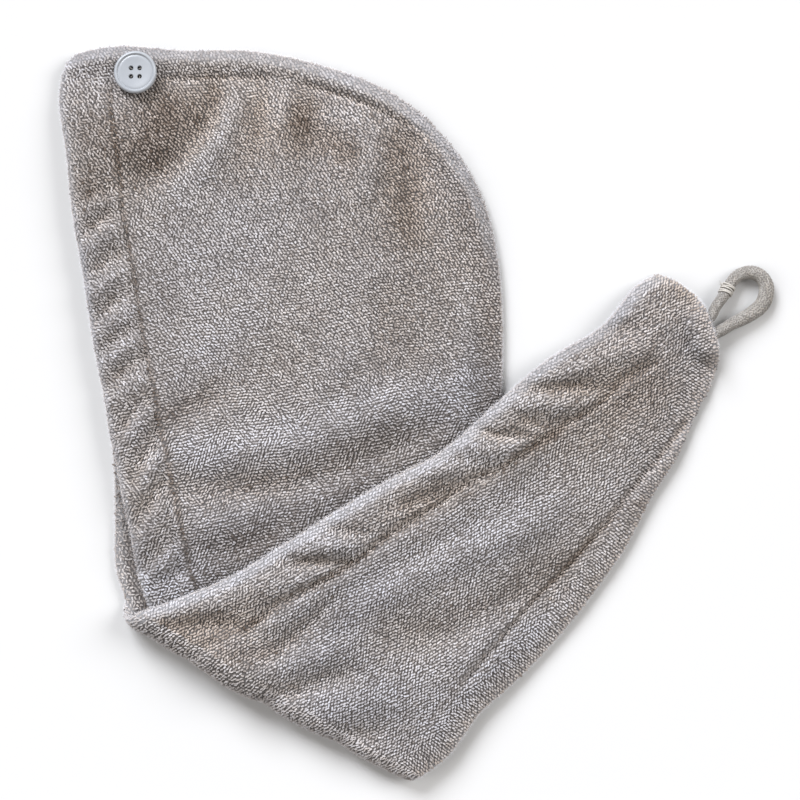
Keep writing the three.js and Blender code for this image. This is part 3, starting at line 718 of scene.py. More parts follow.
def oval_tube(centres, across, up, sides):
    """A closed tube with a ring at each centre, as wide and as high as across and up are long."""
    turn = (np.arange(sides) * 2 * np.pi / sides)[None, :, None]
    rings = centres[:, None] + turned(across[:, None], up[:, None], turn)
    points = np.concatenate([centres[:1], rings.reshape(-1, 3), centres[-1:]])
    return points, ring_triangles(len(centres), sides)[:, ::-1]


def tube(route, radius, sides):
    """A closed tube round a route. The radius may differ from ring to ring."""
    route = np.asarray(route, float)
    across, up = sideways(unit(np.gradient(route, axis=0)))
    reach = np.broadcast_to(np.asarray(radius, float), len(route))[:, None]
    return oval_tube(route, across * reach, up * reach, sides)


def joined(parts):
    """Several (points, triangles) as one."""
    points, triangles, count = [], [], 0
    for part_points, part_triangles in parts:
        points.append(part_points)
        triangles.append(np.asarray(part_triangles) + count)
        count += len(part_points)
    return np.concatenate(points), np.concatenate(triangles)


# Panels

SEAM_LINES = np.array([0, 0.6, 1.4, 2.6, 4.2, 6.5, 9, 12, 14.5, 17]) + RIM_INSET
HEM_LINES = np.array([0, 0.6, 1.4, 2.6, 4.5, 7, 10, 13, 16, 19, 22, 24.5, 26.5, 28, 29.5, 32]) + RIM_INSET
MIDDLE_CELLS = 78
SHOWN_ROWS = 150
HIDDEN_ROWS = 60
FOLD_TURNS = np.arange(-75, 76, 15)


def row_shares(is_front):
    """Shares along each half at which the panels' rows run, dense near the sewn ends."""
    hood_rows, tail_rows = (SHOWN_ROWS, HIDDEN_ROWS) if is_front else (HIDDEN_ROWS, SHOWN_ROWS)
    hood_start = SEAM_LINES / HOOD.length
    hood_rest = np.linspace(hood_start[-1], 1, hood_rows)[1:]
    tail_end = 1 - SEAM_LINES[::-1] / TAIL.length
    tail_rest = np.linspace(0, tail_end[0], tail_rows)[:-1]
    return np.concatenate([hood_start, hood_rest]), np.concatenate([tail_rest, tail_end])


def column_places(width):
    """Distances from the opening edge at which the columns run, for each row's width."""
    first, last = HEM_LINES[-1], width - SEAM_LINES[-1]
    middle = mix(first, last[:, None], np.linspace(0, 1, MIDDLE_CELLS + 1)[1:-1])
    hem = np.broadcast_to(HEM_LINES, (len(width), len(HEM_LINES)))
    return np.concatenate([hem, middle, width[:, None] - SEAM_LINES[::-1]], axis=1)


def flat_nodes(is_hood, is_front, along):
    """What a panel's points on the hood or the tail need, as grids with a row for each share along it."""
    patch, seam = (HOOD, HOOD_SEAM) if is_hood else (TAIL, TAIL_SEAM)
    full_width = patch.width(along)
    inset = patch.inset(along) * is_front
    from_opening = column_places(full_width - inset)
    across = (inset[:, None] + from_opening) / full_width[:, None]
    plan = patch.point(np.broadcast_to(along[:, None], across.shape), across)
    x, y = plan[..., 0], plan[..., 1]
    if is_hood:
        pulled = CORNER_ROUND * bell(np.hypot(x - CORNER[0], y - CORNER[1]), CORNER_REACH)
        x, y = x + pulled, y - pulled
    shown = float(is_hood == is_front)
    relief = hood_relief if is_hood else tail_relief
    return {
        "x": x,
        "y": y,
        "axis": fold_axis(is_hood, x, y),
        "gap": hollow_gap(is_hood, x, y),
        "relief": relief(x, y, from_opening) * shown,
        "from_opening": from_opening,
        "from_seam": from_line(seam, x, y),
        "turn": np.full(x.shape, -90.0 if is_hood else 90.0),
        "shown": np.full(x.shape, shown),
    }


def panel_nodes(is_front):
    """What all the points of a panel need, from the hood round the fold to the tail."""
    hood_shares, tail_shares = row_shares(is_front)
    hood = flat_nodes(True, is_front, hood_shares)
    tail = flat_nodes(False, is_front, tail_shares)
    nodes = {}
    for key in hood:
        share = (FOLD_TURNS[:, None] + 90) / 180
        fold = mix(hood[key][-1:], tail[key][:1], share)
        nodes[key] = np.concatenate([hood[key], fold, tail[key]])
    return nodes


def on_turn(nodes, radius):
    """Points at this distance from the axis that the towel is folded round."""
    angle = np.radians(nodes["turn"])
    reach = radius * np.cos(angle)
    x = nodes["x"] + FOLD_OUTWARD[0] * reach
    y = nodes["y"] + FOLD_OUTWARD[1] * reach
    return np.stack([x, y, nodes["axis"] + radius * np.sin(angle)], axis=-1)


def face_radii(nodes, is_front):
    """Distances from the fold's axis to the outer face, under its pile, and to the inner face."""
    from_opening, gap = nodes["from_opening"], nodes["gap"]
    at_hem = edge_round(from_opening, *HEM_ROUNDING)
    outer_round = np.maximum(at_hem, edge_round(nodes["from_seam"], *SEAM_ROUNDING))
    turned_in = HEM_EXTRA * hem_share(from_opening) - at_hem
    roll = hem_roll(from_opening) * nodes["shown"]
    deepest = -(CLOTH - PILE_SINK - LEAST_CLOTH) - GAP_SHARE * np.clip(gap - 1, 0, None)
    relief = np.maximum(nodes["relief"], deepest)
    if is_front:
        outer = FOLD_INNER_RADIUS - relief + outer_round + PILE_SINK + roll
        inner = FOLD_INNER_RADIUS + CLOTH + turned_in + roll
        return outer, np.maximum(inner, outer + LEAST_CLOTH)
    hollow_top = FOLD_INNER_RADIUS + CLOTH + gap
    outer = hollow_top + CLOTH + relief - outer_round - PILE_SINK - roll
    return outer, np.minimum(hollow_top - turned_in - roll, outer - LEAST_CLOTH)


def rim_of(rows, columns):
    """The numbers of the points round the edge of a grid."""
    index = np.arange(rows * columns).reshape(rows, columns)
    return np.concatenate([index[0, :-1], index[:-1, -1], index[-1, :0:-1], index[:0:-1, 0]])


class Panel:
    """A closed shell of a panel's outer and inner faces, with those faces' points as grids."""

    def __init__(self, name, is_front, material):
        nodes = panel_nodes(is_front)
        outer_radius, inner_radius = face_radii(nodes, is_front)
        self.outer = on_turn(nodes, outer_radius)
        self.inner = on_turn(nodes, inner_radius)
        self.turn = nodes["turn"][:, 0]
        rows, columns = nodes["x"].shape
        self.rim = rim_of(rows, columns)
        size = rows * columns
        faces = grid_triangles(rows, columns)
        rim, after = self.rim, np.roll(self.rim, -1)
        strip = [np.stack([rim, rim + size, after + size], 1), np.stack([rim, after + size, after], 1)]
        triangles = np.concatenate([faces, faces[:, ::-1] + size, *strip])
        if is_front:
            triangles = triangles[:, ::-1]
        points = np.concatenate([self.outer.reshape(-1, 3), self.inner.reshape(-1, 3)])
        self.piece = new_piece(name, points, triangles, material, "terry")
        weave = HOOD_WEAVE if is_front else TAIL_WEAVE
        # The ground's painted shade: lighter on the edges, darker under the tables' painted shade.
        at_edge = edge_share(weave, nodes["y"], nodes["from_opening"], nodes["from_seam"])
        dark = np.clip(-painted_light_at(weave["shades"], nodes["x"], nodes["y"]) / FULL_DARK, 0, 1)
        keep_values(self.piece, "tone", np.tile((at_edge - dark).ravel(), 2))

    def part(self, grid, wanted):
        """The part of a face whose rows are wanted, and one row more on either side."""
        rows = np.flatnonzero(wanted)
        grid = grid[max(rows[0] - 1, 0):rows[-1] + 2]
        return Surface(grid.reshape(-1, 3), grid_triangles(*grid.shape[:2]))

    def rim_points(self, pitch):
        """Points at even steps round the rim, on both faces, and the ways that face out of the cloth."""
        rows, columns = self.outer.shape[:2]
        row, column = np.divmod(self.rim, columns)
        middle = (self.outer + self.inner) / 2
        within = middle[np.clip(row, 1, rows - 2), np.clip(column, 1, columns - 2)]
        outward = unit(middle[row, column] - within)
        outer, inner, middle = self.outer[row, column], self.inner[row, column], middle[row, column]
        steps = np.linalg.norm(np.roll(middle, -1, axis=0) - middle, axis=1)
        travelled = np.concatenate([[0], np.cumsum(steps)])
        along = np.arange(0, travelled[-1], pitch)

        def spread(values):
            closed = np.concatenate([values, values[:1]])
            return np.stack([np.interp(along, travelled, column) for column in closed.T], 1)

        return spread(outer), spread(inner), unit(spread(outward))


# Pile: many small loops, each a low capsule that lies on the cloth

# How much painted shade darkens a loop at its foot, how far loops differ, and how far a loop is lit as
# the cloth is.
DEPTH_SHADE = 0.8
LOOP_SPREAD = 0.16
CLOTH_SHARE = 0.66

# Where a capsule's two rings are, as a share of half its length, how far its ends hang down, as a share of
# its height, and how much of its square on the map stays empty on each side.
CAPSULE_RING = 0.62
SAG = 0.35
SQUARE_MARGIN = 0.15


class Loops:
    """Places, directions and sizes of loops of pile, gathered before they become one mesh."""

    def __init__(self, seed):
        self.random = np.random.default_rng(seed)
        self.rows = []

    def add(self, places, ups, ways, sizes, light, facing=None, depth=DEPTH_SHADE, cool=0.5):
        """Sizes are half the length, the width and the height. Light and cool go from 0 to 1."""
        count = len(places)
        ups = unit(np.broadcast_to(ups, (count, 3)))
        ways = unit(np.broadcast_to(ways, (count, 3)))
        facing = ups if facing is None else unit(facing)
        across = unit(np.cross(ups, ways))
        ups = np.cross(ways, across)
        spread = self.random.uniform(0.82, 1.18, (count, 3))
        depth = np.broadcast_to(depth, count)
        shade = np.clip(light + self.random.normal(0, LOOP_SPREAD, count) * depth / DEPTH_SHADE, 0, 1)
        bend = self.random.normal(0, 0.25, count)
        cool = np.clip(np.broadcast_to(cool, count) + self.random.normal(0, 0.08, count), 0, 1)
        sizes = np.asarray(sizes, float) * spread
        self.rows.append((places, ups, ways, sizes, shade, bend, facing, depth, cool))


def capsule(rings, sides):
    """A capsule of length 2 and width 2 along x, as points, triangles and a map of each corner."""
    places = [0.0] if rings == 1 else [-CAPSULE_RING, CAPSULE_RING]
    profile = [(0, -1), *((math.sqrt(1 - place**2), place) for place in places), (0, 1)]
    points, triangles = lathe(profile, sides, np.pi / 2)
    points = points[:, [2, 0, 1]]
    side = np.arange(len(triangles))[:, None] // (2 * rings)
    is_end = (triangles == 0) | (triangles == len(points) - 1)
    round_share = side + np.where(is_end, 0.5, (triangles - 1) % sides != side)
    return points, triangles, np.stack([(points[triangles, 0] + 1) / 2, round_share / sides], -1)


def square_map(piece, corners, count):
    """A map that gives each of the loops a small square of its own."""
    cells = math.ceil(math.sqrt(count))
    cell = np.stack([np.arange(count) % cells, np.arange(count) // cells], 1)
    spots = (cell[:, None, None] + SQUARE_MARGIN + (1 - 2 * SQUARE_MARGIN) * corners[None]) / cells
    uv_map = piece.data.uv_layers.new(name="OFBake")
    uv_map.uv.foreach_set("vector", spots.astype(np.float32).ravel())


def pile(name, loops, material, slot="terry", rings=2, sides=3):
    """All the loops as one mesh, with painted shade towards the cloth, that is lit partly as the cloth is."""
    template, faces, corners = capsule(rings, sides)
    columns = [np.concatenate(part) for part in zip(*loops.rows)]
    places, ups, ways, sizes, shades, bends, facing, depths, cools = columns
    axes = np.stack([ways, np.cross(ups, ways), ups], 1)
    bow = template[:, 0] ** 2
    own = template * sizes[:, None]
    own[..., 1] += bends[:, None] * sizes[:, :1] * bow
    own[..., 2] -= SAG * sizes[:, 2:] * bow
    points = (places[:, None] + own @ axes).reshape(-1, 3)
    count = len(places)
    triangles = (faces[None] + (np.arange(count) * len(template))[:, None, None]).reshape(-1, 3)
    piece = new_piece(name, points, triangles, material, slot)
    normals = unit(mix(unit(template * (0.5, 1, 1)) @ axes, facing[:, None], CLOTH_SHARE))
    piece.data.normals_split_custom_set_from_vertices(normals.reshape(-1, 3))
    square_map(piece, corners, count)
    # Painted shade: each loop darkens towards its ends and its foot, where loops shade each other.
    height = 0.5 + 0.5 * template[:, 2] - 0.3 * np.abs(template[:, 0])
    darker = depths[:, None] * (1 - np.clip(height, 0, 1))
    keep_values(piece, "shade", shades[:, None] * (1 - darker))
    keep_values(piece, "cool", np.repeat(cools, len(template)))
    return piece


# How far the weave's rows are made from the middle, how far they waver, and how far a loop strays from
# its place, as a share of the pitch.
TOWEL_REACH = 320
WAVER = 0.9
STRAY = 0.11


def cloth_grid(outline, turn_deg, pitch, random):
    """Points of the cloth's weave inside an outline, in rows that waver a little."""
    turn = math.radians(turn_deg)
    first = np.array([math.cos(turn), math.sin(turn)])
    second = np.array([-math.sin(turn), math.cos(turn)])
    reach = int(TOWEL_REACH / min(pitch))
    i, j = np.meshgrid(np.arange(-reach, reach), np.arange(-reach, reach), indexing="ij")
    u = ((i + 0.5 * (j % 2)) * pitch[0]).ravel()
    v = (j * pitch[1]).ravel().astype(float)
    u, v = (
        u + WAVER * np.sin(v / 17 + np.sin(u / 31)) + 0.6 * WAVER * np.sin(v / 7.3 + u / 40),
        v + WAVER * np.sin(u / 19 + np.sin(v / 27)) + 0.6 * WAVER * np.sin(u / 8.1 + v / 35),
    )
    u += random.normal(0, STRAY, len(u)) * pitch[0]
    v += random.normal(0, STRAY, len(v)) * pitch[1]
    x = u * first[0] + v * second[0]
    y = u * first[1] + v * second[1]
    low, high = outline.min(0), outline.max(0)
    near = (x > low[0]) & (x < high[0]) & (y > low[1]) & (y < high[1])
    x, y = x[near], y[near]
    inside = is_inside(outline, x, y)
    return x[inside], y[inside]


def swirl(x, y, size):
    """A smooth random number between about -1 and 1 for each place, in patches of about this size."""
    u, v = x / size, y / size
    return 0.6 * np.sin(2.1 * u + 1.7 * np.sin(1.3 * v)) + 0.5 * np.sin(1.9 * v - 1.4 * np.sin(1.7 * u + 0.8))


def hood_lean(x, y):
    """Which way the loops lie on the hood, in degrees: they turn and tangle towards the fold."""
    lean = 130 + 18 * smooth((110 - y) / 60) + 55 * smooth((25 - y) / 40)
    return lean + (12 + 34 * smooth((40 - y) / 50)) * swirl(x, y, 9)


def tail_lean(x, y):
    """Which way the loops lie on the tail, in degrees."""
    return 40 + 14 * swirl(x, y, 12)


# How the loops are woven: the rows' turn in degrees, the pitch and the loops' half length, width and height,
# how they lie and how much that differs, how wide the fine edges are, and how their shade changes there;
# then the painted shade along the stitch groove, the painted warm shade behind the hem's edge and by the
# tail's seam, and the tables of painted light, shade and tint
HOOD_WEAVE = {
    "turn": 10, "pitch": (1.86, 1.66), "size": (0.98, 0.8, 0.85), "lean": hood_lean, "spread": 19,
    "edge": 5, "seam_edge": 8.5, "edge_dark": 0.26, "stitched": 0.42, "warm_hem": 0, "warm_seam": 0,
    "shades": HOOD_PAINTED_SHADE, "folds": HOOD_FOLDS, "cool": HOOD_PAINTED_TINT,
}
TAIL_WEAVE = {
    "turn": 24, "pitch": (1.82, 1.64), "size": (0.95, 0.8, 0.85), "lean": tail_lean, "spread": 15,
    "edge": 8, "seam_edge": 6, "edge_dark": 0.2, "stitched": 0.14, "warm_hem": 0.22, "warm_seam": 0.6,
    "shades": TAIL_PAINTED_SHADE, "folds": TAIL_FOLDS, "cool": TAIL_PAINTED_TINT,
}

# The sparse pile underneath, the pile on the hem's turned face, and the fuzz round the rims
UNDER_PITCH = (3.1, 2.9)
UNDER_SIZE = (1.7, 1.3, 0.62)
UNDER_INSET = 3
UNDER_LIGHT = 0.6
TURNED_PITCH = (2.1, 2.0)
TURNED_SIZE = (1.2, 0.82, 0.95)
TURNED_NOTCH = [(-153, -108), (-140, -117), (-124, -118), (-124, -108)]
FUZZ_PITCH = 0.5
FUZZ_REACH = (0.3, 1.4)
FUZZ_SIZE = (1.4, 0.07, 0.07)
FUZZ_LEAST_HEIGHT = 1.6

# Where the loops stand in the cloth, how they rise, how far from the tail's sewn edge they are brushed
# towards it, how far the hood's pile runs on under the tail, and how they differ in a hem and on an edge
PILE_LEVEL = 0.35
TILT = 0.25
SEAM_BRUSH = 15
UNDER_TAIL = 16
HEM_GROWTH = np.array([1.12, 1, 1.15])
EDGE_SIZE = np.array([0.95, 0.88, 0.6])
TAIL_SEAM_FINE = 0.6
LIFT = np.array([0, 0, 1.4])

# How light the loops are, how much painted shade falls just behind an edge, how dark their painted-shade
# feet are on an edge and in the darkest painted shade, and the painted shade that counts as darkest
PILE_LIGHT = 0.66
PAINTED_SHADE_BEHIND_EDGE = 0.1
EDGE_DEPTH_SHADE = 0.35
DARK_DEPTH_SHADE = 1
FULL_DARK = 0.36

# Patches that are lighter or darker: how much, how far to the right and up, and how large
LIGHT_PATCHES = [(0.05, 12, -40, 27), (0.04, 0, 0, 13), (0.03, -31, 17, 5)]


def painted_light_at(rows, x, y):
    """Painted light or cool tint of the pile at each place; below 0, painted shade or warm tint."""
    total = np.zeros(np.shape(x))
    for amount, width, line in rows:
        total += amount * bell(from_line(line, x, y), width)
    return total


def edge_share(weave, y, from_open, from_seam):
    """1 on the hem's edge and on the crown's, where the pile is finer and stands up to the light."""
    at_edge = smooth((weave["edge"] - from_open) / 4)
    at_seam = smooth((weave["seam_edge"] - from_seam) / 4)
    at_seam = at_seam * (TAIL_SEAM_FINE if weave is TAIL_WEAVE else crown_share(y))
    return np.maximum(at_edge, at_seam)


def loop_ways(side, weave, x, y, random):
    """Directions of the loops: as woven, but square to the tail's sewn edge beside it."""
    lean = np.radians(weave["lean"](x, y) + random.normal(0, weave["spread"], len(x)))
    in_hem = smooth((HEM_WIDTH - side.from_open.at(x, y)) / 3)
    lean += in_hem * random.normal(0, 0.35, len(x))
    woven = lying(lean)[:, :2]
    to_seam = -unit(side.from_seam.slope(x, y))
    brush = 0.8 * smooth((SEAM_BRUSH - side.from_seam.at(x, y)) / 3) * (weave is TAIL_WEAVE)
    flip = np.where((woven * to_seam).sum(1) < 0, -1, 1)
    way = mix(woven * flip[:, None], to_seam, brush[:, None])
    return np.column_stack([way, np.zeros(len(x))]) + (0, 0, TILT)


def loop_tones(weave, x, y, from_open, from_seam, at_edge):
    """How light the loops are with painted light and shade, their feet's painted shade, and painted tint."""
    light = PILE_LIGHT + 0.02 * smooth((HEM_WIDTH - from_open) / 4) - weave["edge_dark"] * at_edge
    # Painted shade just behind the rolled edge.
    light -= PAINTED_SHADE_BEHIND_EDGE * bell(from_open - weave["edge"] - 6, 5)
    for amount, right, up, patch in LIGHT_PATCHES:
        light += amount * swirl(x - right, y - up, patch)
    # Painted shade along the hem's stitch groove.
    stitched = weave["stitched"] * bell(from_open - HEM_WIDTH, 1.6) * below_crown(y)
    shade = painted_light_at(weave["shades"], x, y) - stitched
    depth = mix(DEPTH_SHADE, DARK_DEPTH_SHADE, np.clip(-shade / FULL_DARK, 0, 1))
    relief = np.clip(fold_relief(weave["folds"], x, y), -2, 2)
    # Painted tint: cool as in light on ridges, edges and painted light; warm as in shade in dents, painted
    # shade, behind the hem's edge and along the tail's seam.
    cool = 0.5 + 0.1 * relief + 0.75 * shade + 0.35 * at_edge + painted_light_at(weave["cool"], x, y)
    cool -= weave["warm_hem"] * bell(from_open - 19, 8) + weave["warm_seam"] * bell(from_seam, 6)
    return light + shade, mix(depth, EDGE_DEPTH_SHADE, at_edge), cool


def top_pile(side, weave, in_hem, seed):
    """The pile on the hood's or the tail's top, in its hem or else beyond it."""
    loops = Loops(seed)
    x, y = cloth_grid(side.outline, weave["turn"], weave["pitch"], loops.random)
    kept = (side.from_open.at(x, y) < HEM_WIDTH) == in_hem
    if weave is HOOD_WEAVE:
        kept &= above_tail(x, y) > -UNDER_TAIL
    x, y = x[kept], y[kept]
    places, ups, met = side.surface.from_above(x, y)
    x, y, places, ups = x[met], y[met], places[met], ups[met]
    ways = loop_ways(side, weave, x, y, loops.random)
    from_open, from_seam = side.from_open.at(x, y), side.from_seam.at(x, y)
    at_edge = edge_share(weave, y, from_open, from_seam)
    sizes = weave["size"] * mix(1, HEM_GROWTH, smooth((HEM_WIDTH - from_open) / 4)[:, None])
    sizes = mix(sizes, EDGE_SIZE, at_edge[:, None])
    light, depth, cool = loop_tones(weave, x, y, from_open, from_seam, at_edge)
    loops.add(places + ups * (PILE_SINK - PILE_LEVEL), ups, ways, sizes, light, depth=depth, cool=cool)
    return loops


# The rim's loops run in rows, at these shares of the cloth's thickness.
RIM_ROWS = (0.35 / 2.7, 1.35 / 2.7, 2.35 / 2.7)
RIM_PITCH = 1.45
RIM_SIZE = (0.95, 0.62, 0.66)
RIM_LIGHT = 0.52


def rim_pile(panel, seed):
    """Loops all round a panel's rim."""
    loops = Loops(seed)
    outer, inner, outward = panel.rim_points(RIM_PITCH)
    through = inner - outer
    thick = np.linalg.norm(through, axis=1, keepdims=True)
    across = through / thick
    along = np.cross(outward, across)
    count = len(outer)
    for share in RIM_ROWS:
        slip = loops.random.normal(0, 0.4, (count, 1))
        depth = loops.random.uniform(-0.3, 0.25, (count, 1))
        places = outer + through * share + outward * depth + along * slip
        turn = loops.random.uniform(-1.3, 1.3, (count, 1))
        ways = turned(along, across, turn) + outward * TILT
        ups = outward + across * (2 * share - 1)
        places[:, 2] = np.maximum(places[:, 2], RIM_SIZE[2] + 0.1)
        loops.add(places, ups, ways, RIM_SIZE, RIM_LIGHT, facing=unit(ups) + LIFT, depth=EDGE_DEPTH_SHADE)
    return loops


def fold_axis_places(along, share):
    """Points on the fold's axis, and half the way round the fold from the hood to the tail."""
    hood, tail = (mix(*np.array(line, float), along[:, None]) for line in (FOLD_LINE_HOOD, FOLD_LINE_TAIL))
    axis = mix(fold_axis(True, *hood.T), fold_axis(False, *tail.T), share)
    return np.column_stack([mix(hood, tail, share[:, None]), axis])


# Round the fold the pile's pitch is in millimetres along it and in degrees round it.
FOLD_PITCH = (1.8, 9.5)
FOLD_SIZE = (1.05, 0.72, 0.8)
# Painted light: the fold's loops are coloured lighter, against the shade on its side away from the key lamp.
FOLD_PAINTED_LIGHT = 0.8
FOLD_LEAST_HEIGHT = 1.4
FOLD_RAY = 40


def fold_pile(seed):
    """The pile round the outside of the fold."""
    loops = Loops(seed)
    length = np.linalg.norm(FOLD_LINE[1] - FOLD_LINE[0])
    shares = np.arange(0.8, length, FOLD_PITCH[0]) / length
    along, turn = np.meshgrid(shares, np.arange(-84, 92, FOLD_PITCH[1]), indexing="ij")
    along, turn = along.ravel(), turn.ravel()
    along = np.clip(along + loops.random.normal(0, 0.0015, len(along)), 0.002, 0.998)
    turn = turn + loops.random.normal(0, 1.5, len(turn))
    angle = np.radians(turn)
    out = np.column_stack([FOLD_OUTWARD * np.cos(angle)[:, None], np.sin(angle)])
    starts = fold_axis_places(along, (turn + 90) / 180) + out * FOLD_RAY
    places, ups, met = fold_face.meet(starts, -out)
    places, ups = places[met], ups[met]
    fold_way = np.append(unit(FOLD_LINE[1] - FOLD_LINE[0]), 0)
    lean = loops.random.normal(1.0, 0.35, (len(places), 1))
    ways = turned(fold_way, np.cross(ups, fold_way), lean)
    places = places + ups * (PILE_SINK - PILE_LEVEL)
    places[:, 2] = np.maximum(places[:, 2], FOLD_LEAST_HEIGHT)
    loops.add(places, ups, ways, FOLD_SIZE, FOLD_PAINTED_LIGHT)
    return loops


def under_pile(seed):
    """Sparser pile on the faces that lie towards the table."""
    loops = Loops(seed)
    for side, is_hood in ((hood_side, True), (tail_side, False)):
        x, y = cloth_grid(side.outline, HOOD_WEAVE["turn"], UNDER_PITCH, loops.random)
        clear = (side.from_seam.at(x, y) > UNDER_INSET) & (side.from_open.at(x, y) > UNDER_INSET)
        if not is_hood:
            clear &= ~is_inside(HOOD_OUTLINE, x, y)
        x, y = x[clear], y[clear]
        bottom = np.zeros(len(x)) if is_hood else fold_axis(False, x, y) + FOLD_INNER_RADIUS
        rounding = edge_round(side.from_seam.at(x, y), *SEAM_ROUNDING)
        ways = lying(np.radians(40 + loops.random.normal(0, 50, len(x))))
        level = bottom + rounding + UNDER_SIZE[2] + 0.15
        loops.add(np.column_stack([x, y, level]), (0, 0, -1), ways, UNDER_SIZE, UNDER_LIGHT)
    return loops


def turned_face_pile(seed):
    """Pile on the back hem's inner face, where the front panel's edge stands back from it."""
    loops = Loops(seed)
    band = np.concatenate([HOOD_OPEN, TURNED_NOTCH, (FRONT_HOOD_OPEN + (4, 0))[::-1]])
    x, y = cloth_grid(band, HOOD_WEAVE["turn"], TURNED_PITCH, loops.random)
    places, ups, met = turned_face.from_above(x, y)
    ways = lying(loops.random.normal(2.4, 0.7, met.sum()), TILT)
    # Painted shade: darker loops next to the front panel's edge, which stands over them.
    light = 0.7 - 0.5 * bell(from_line(FRONT_HOOD_OPEN, x[met], y[met]), 3.5)
    loops.add(places[met] + ups[met] * 0.4, ups[met], ways, TURNED_SIZE, light)
    return loops


def fuzz(panel, seed):
    """Fine fibres that stand out from a panel's rim."""
    loops = Loops(seed)
    outer, inner, outward = panel.rim_points(FUZZ_PITCH)
    count = len(outer)
    share = loops.random.uniform(-0.2, 1, (count, 1))
    reach = loops.random.uniform(*FUZZ_REACH, (count, 1))
    places = mix(outer, inner, share) + outward * reach
    places[:, 2] = np.maximum(places[:, 2], FUZZ_LEAST_HEIGHT)
    ways = outward + loops.random.normal(0, 0.55, (count, 3))
    loops.add(places, (0.1, 0.1, 1), ways, FUZZ_SIZE, 1.0, depth=0.2)
    return loops


# Stitches, button and loop

STITCH_PITCH = 4.2
STITCH_SIZE = (1.45, 0.26, 0.26)
STITCH_LIGHT = 0.6


def hem_stitches(seed):
    """The thread that shows in the hems' stitch lines."""
    loops = Loops(seed)
    for patch, side, is_front in ((HOOD, hood_side, True), (TAIL, tail_side, False)):
        along = np.arange(0.015, 0.985, STITCH_PITCH / patch.open.length)
        inset = patch.inset(along) if is_front else 0
        plan = patch.point(along, (inset + HEM_WIDTH) / patch.width(along))
        ahead = np.gradient(plan, axis=0)
        x, y = plan.T
        places, ups, shows = side.surface.from_above(x, y)
        shows &= (above_tail(x, y) > 2) | (not is_front)
        ways = np.column_stack([ahead, np.zeros(len(x))])
        loops.add(places[shows] + ups[shows] * 0.3, ups[shows], ways[shows], STITCH_SIZE, STITCH_LIGHT)
    return loops


BUTTON_HOLE_SPACING = 4.7
BUTTON_HOLE_RADIUS = 1.2
BUTTON_SIDES = 96
HOLE_SIDES = 28
SHARP_DEG = 32

# Two strands stand in each hole: how far from its middle, how they lean, their points and their radii.
STRAND_PLACE = 0.42
STRAND_LEAN = 0.25
STRAND_LEVELS = (-0.6, 0.2, 1.0, 1.55)
STRAND_RADII = [0.3, 0.34, 0.34, 0.2]
BUTTON_PROFILE = [
    (0, 0), (10.6, 0), (11.2, 0.25), (11.6, 0.7), (11.85, 1.25), (11.95, 1.9), (11.9, 2.5), (11.7, 3.05),
    (11.35, 3.5), (10.95, 3.75), (10.6, 3.78), (10.3, 3.6), (10.1, 3.3), (9.95, 3.0), (9.75, 2.86),
    (9.5, 2.87), (9.25, 3.0), (8.9, 3.08), (8.2, 3.04), (7, 2.88), (5.5, 2.7), (3.5, 2.56), (1.5, 2.5),
    (0, 2.5),
]
HOLE_PROFILE = [
    (0, -1), (BUTTON_HOLE_RADIUS, -1), (BUTTON_HOLE_RADIUS, 2.1), (BUTTON_HOLE_RADIUS + 0.12, 2.4),
    (BUTTON_HOLE_RADIUS + 0.5, 3), (BUTTON_HOLE_RADIUS + 0.9, 5), (0, 5),
]


def button_frame():
    """The CAD button's foot and its three axes."""
    node = bpy.data.objects["button"]
    corners = np.array([node.matrix_world @ corner.co for corner in node.data.vertices]) / MM + ORIGIN
    centre = corners.mean(0)
    up = np.linalg.svd(corners - centre, full_matrices=False)[2][2]
    up = up * np.sign(up[2])
    first = unit(np.cross((0, 1, 0), up))
    second = np.cross(up, first)
    return centre + up * ((corners - centre) @ up).min(), np.stack([first, second, up])


def mark_sharp(mesh, limit_deg):
    """Edges that turn by more than the limit are drawn sharp."""
    shape = bmesh.new()
    shape.from_mesh(mesh)
    for edge in shape.edges:
        edge.smooth = len(edge.link_faces) == 2 and edge.calc_face_angle() < math.radians(limit_deg)
    shape.to_mesh(mesh)
    shape.free()


def cut_holes(disc, foot, axes, corners, material):
    """Drills the button's holes for good."""
    hole, triangles = lathe(HOLE_PROFILE, HOLE_SIDES)
    drills = joined([(foot + (hole + corner) @ axes, triangles) for corner in corners])
    drill = new_piece("drill", *drills, material, "button")
    cut = disc.modifiers.new("holes", "BOOLEAN")
    cut.operation, cut.object, cut.solver = "DIFFERENCE", drill, "EXACT"
    depsgraph = bpy.context.evaluated_depsgraph_get()
    shape = bpy.data.meshes.new_from_object(disc.evaluated_get(depsgraph))
    disc.modifiers.clear()
    disc.data = shape
    bpy.data.objects.remove(drill)
    mark_sharp(shape, SHARP_DEG)


def button(material, thread):
    """The button, and the strands of thread in its holes."""
    foot, axes = button_frame()
    points, triangles = lathe(BUTTON_PROFILE, BUTTON_SIDES)
    disc = new_piece("button_disc", foot + points @ axes, triangles, material, "button")
    half = BUTTON_HOLE_SPACING / 2
    corners = [(sx * half, sy * half, 0) for sx in (-1, 1) for sy in (-1, 1)]
    cut_holes(disc, foot, axes, corners, material)
    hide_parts("button")
    strands = []
    for index, corner in enumerate(corners):
        turn = 0.7 + 1.9 * index
        ways = lying(np.array([turn, turn + math.pi]))
        lean = ways[0] * STRAND_LEAN + (0, 0, 1)
        for way in ways:
            route = [corner + way * STRAND_PLACE + lean * level for level in STRAND_LEVELS]
            strands.append(tube(foot + np.array(route) @ axes, STRAND_RADII, 7))
    return disc, new_piece("button_thread", *joined(strands), thread, "thread")


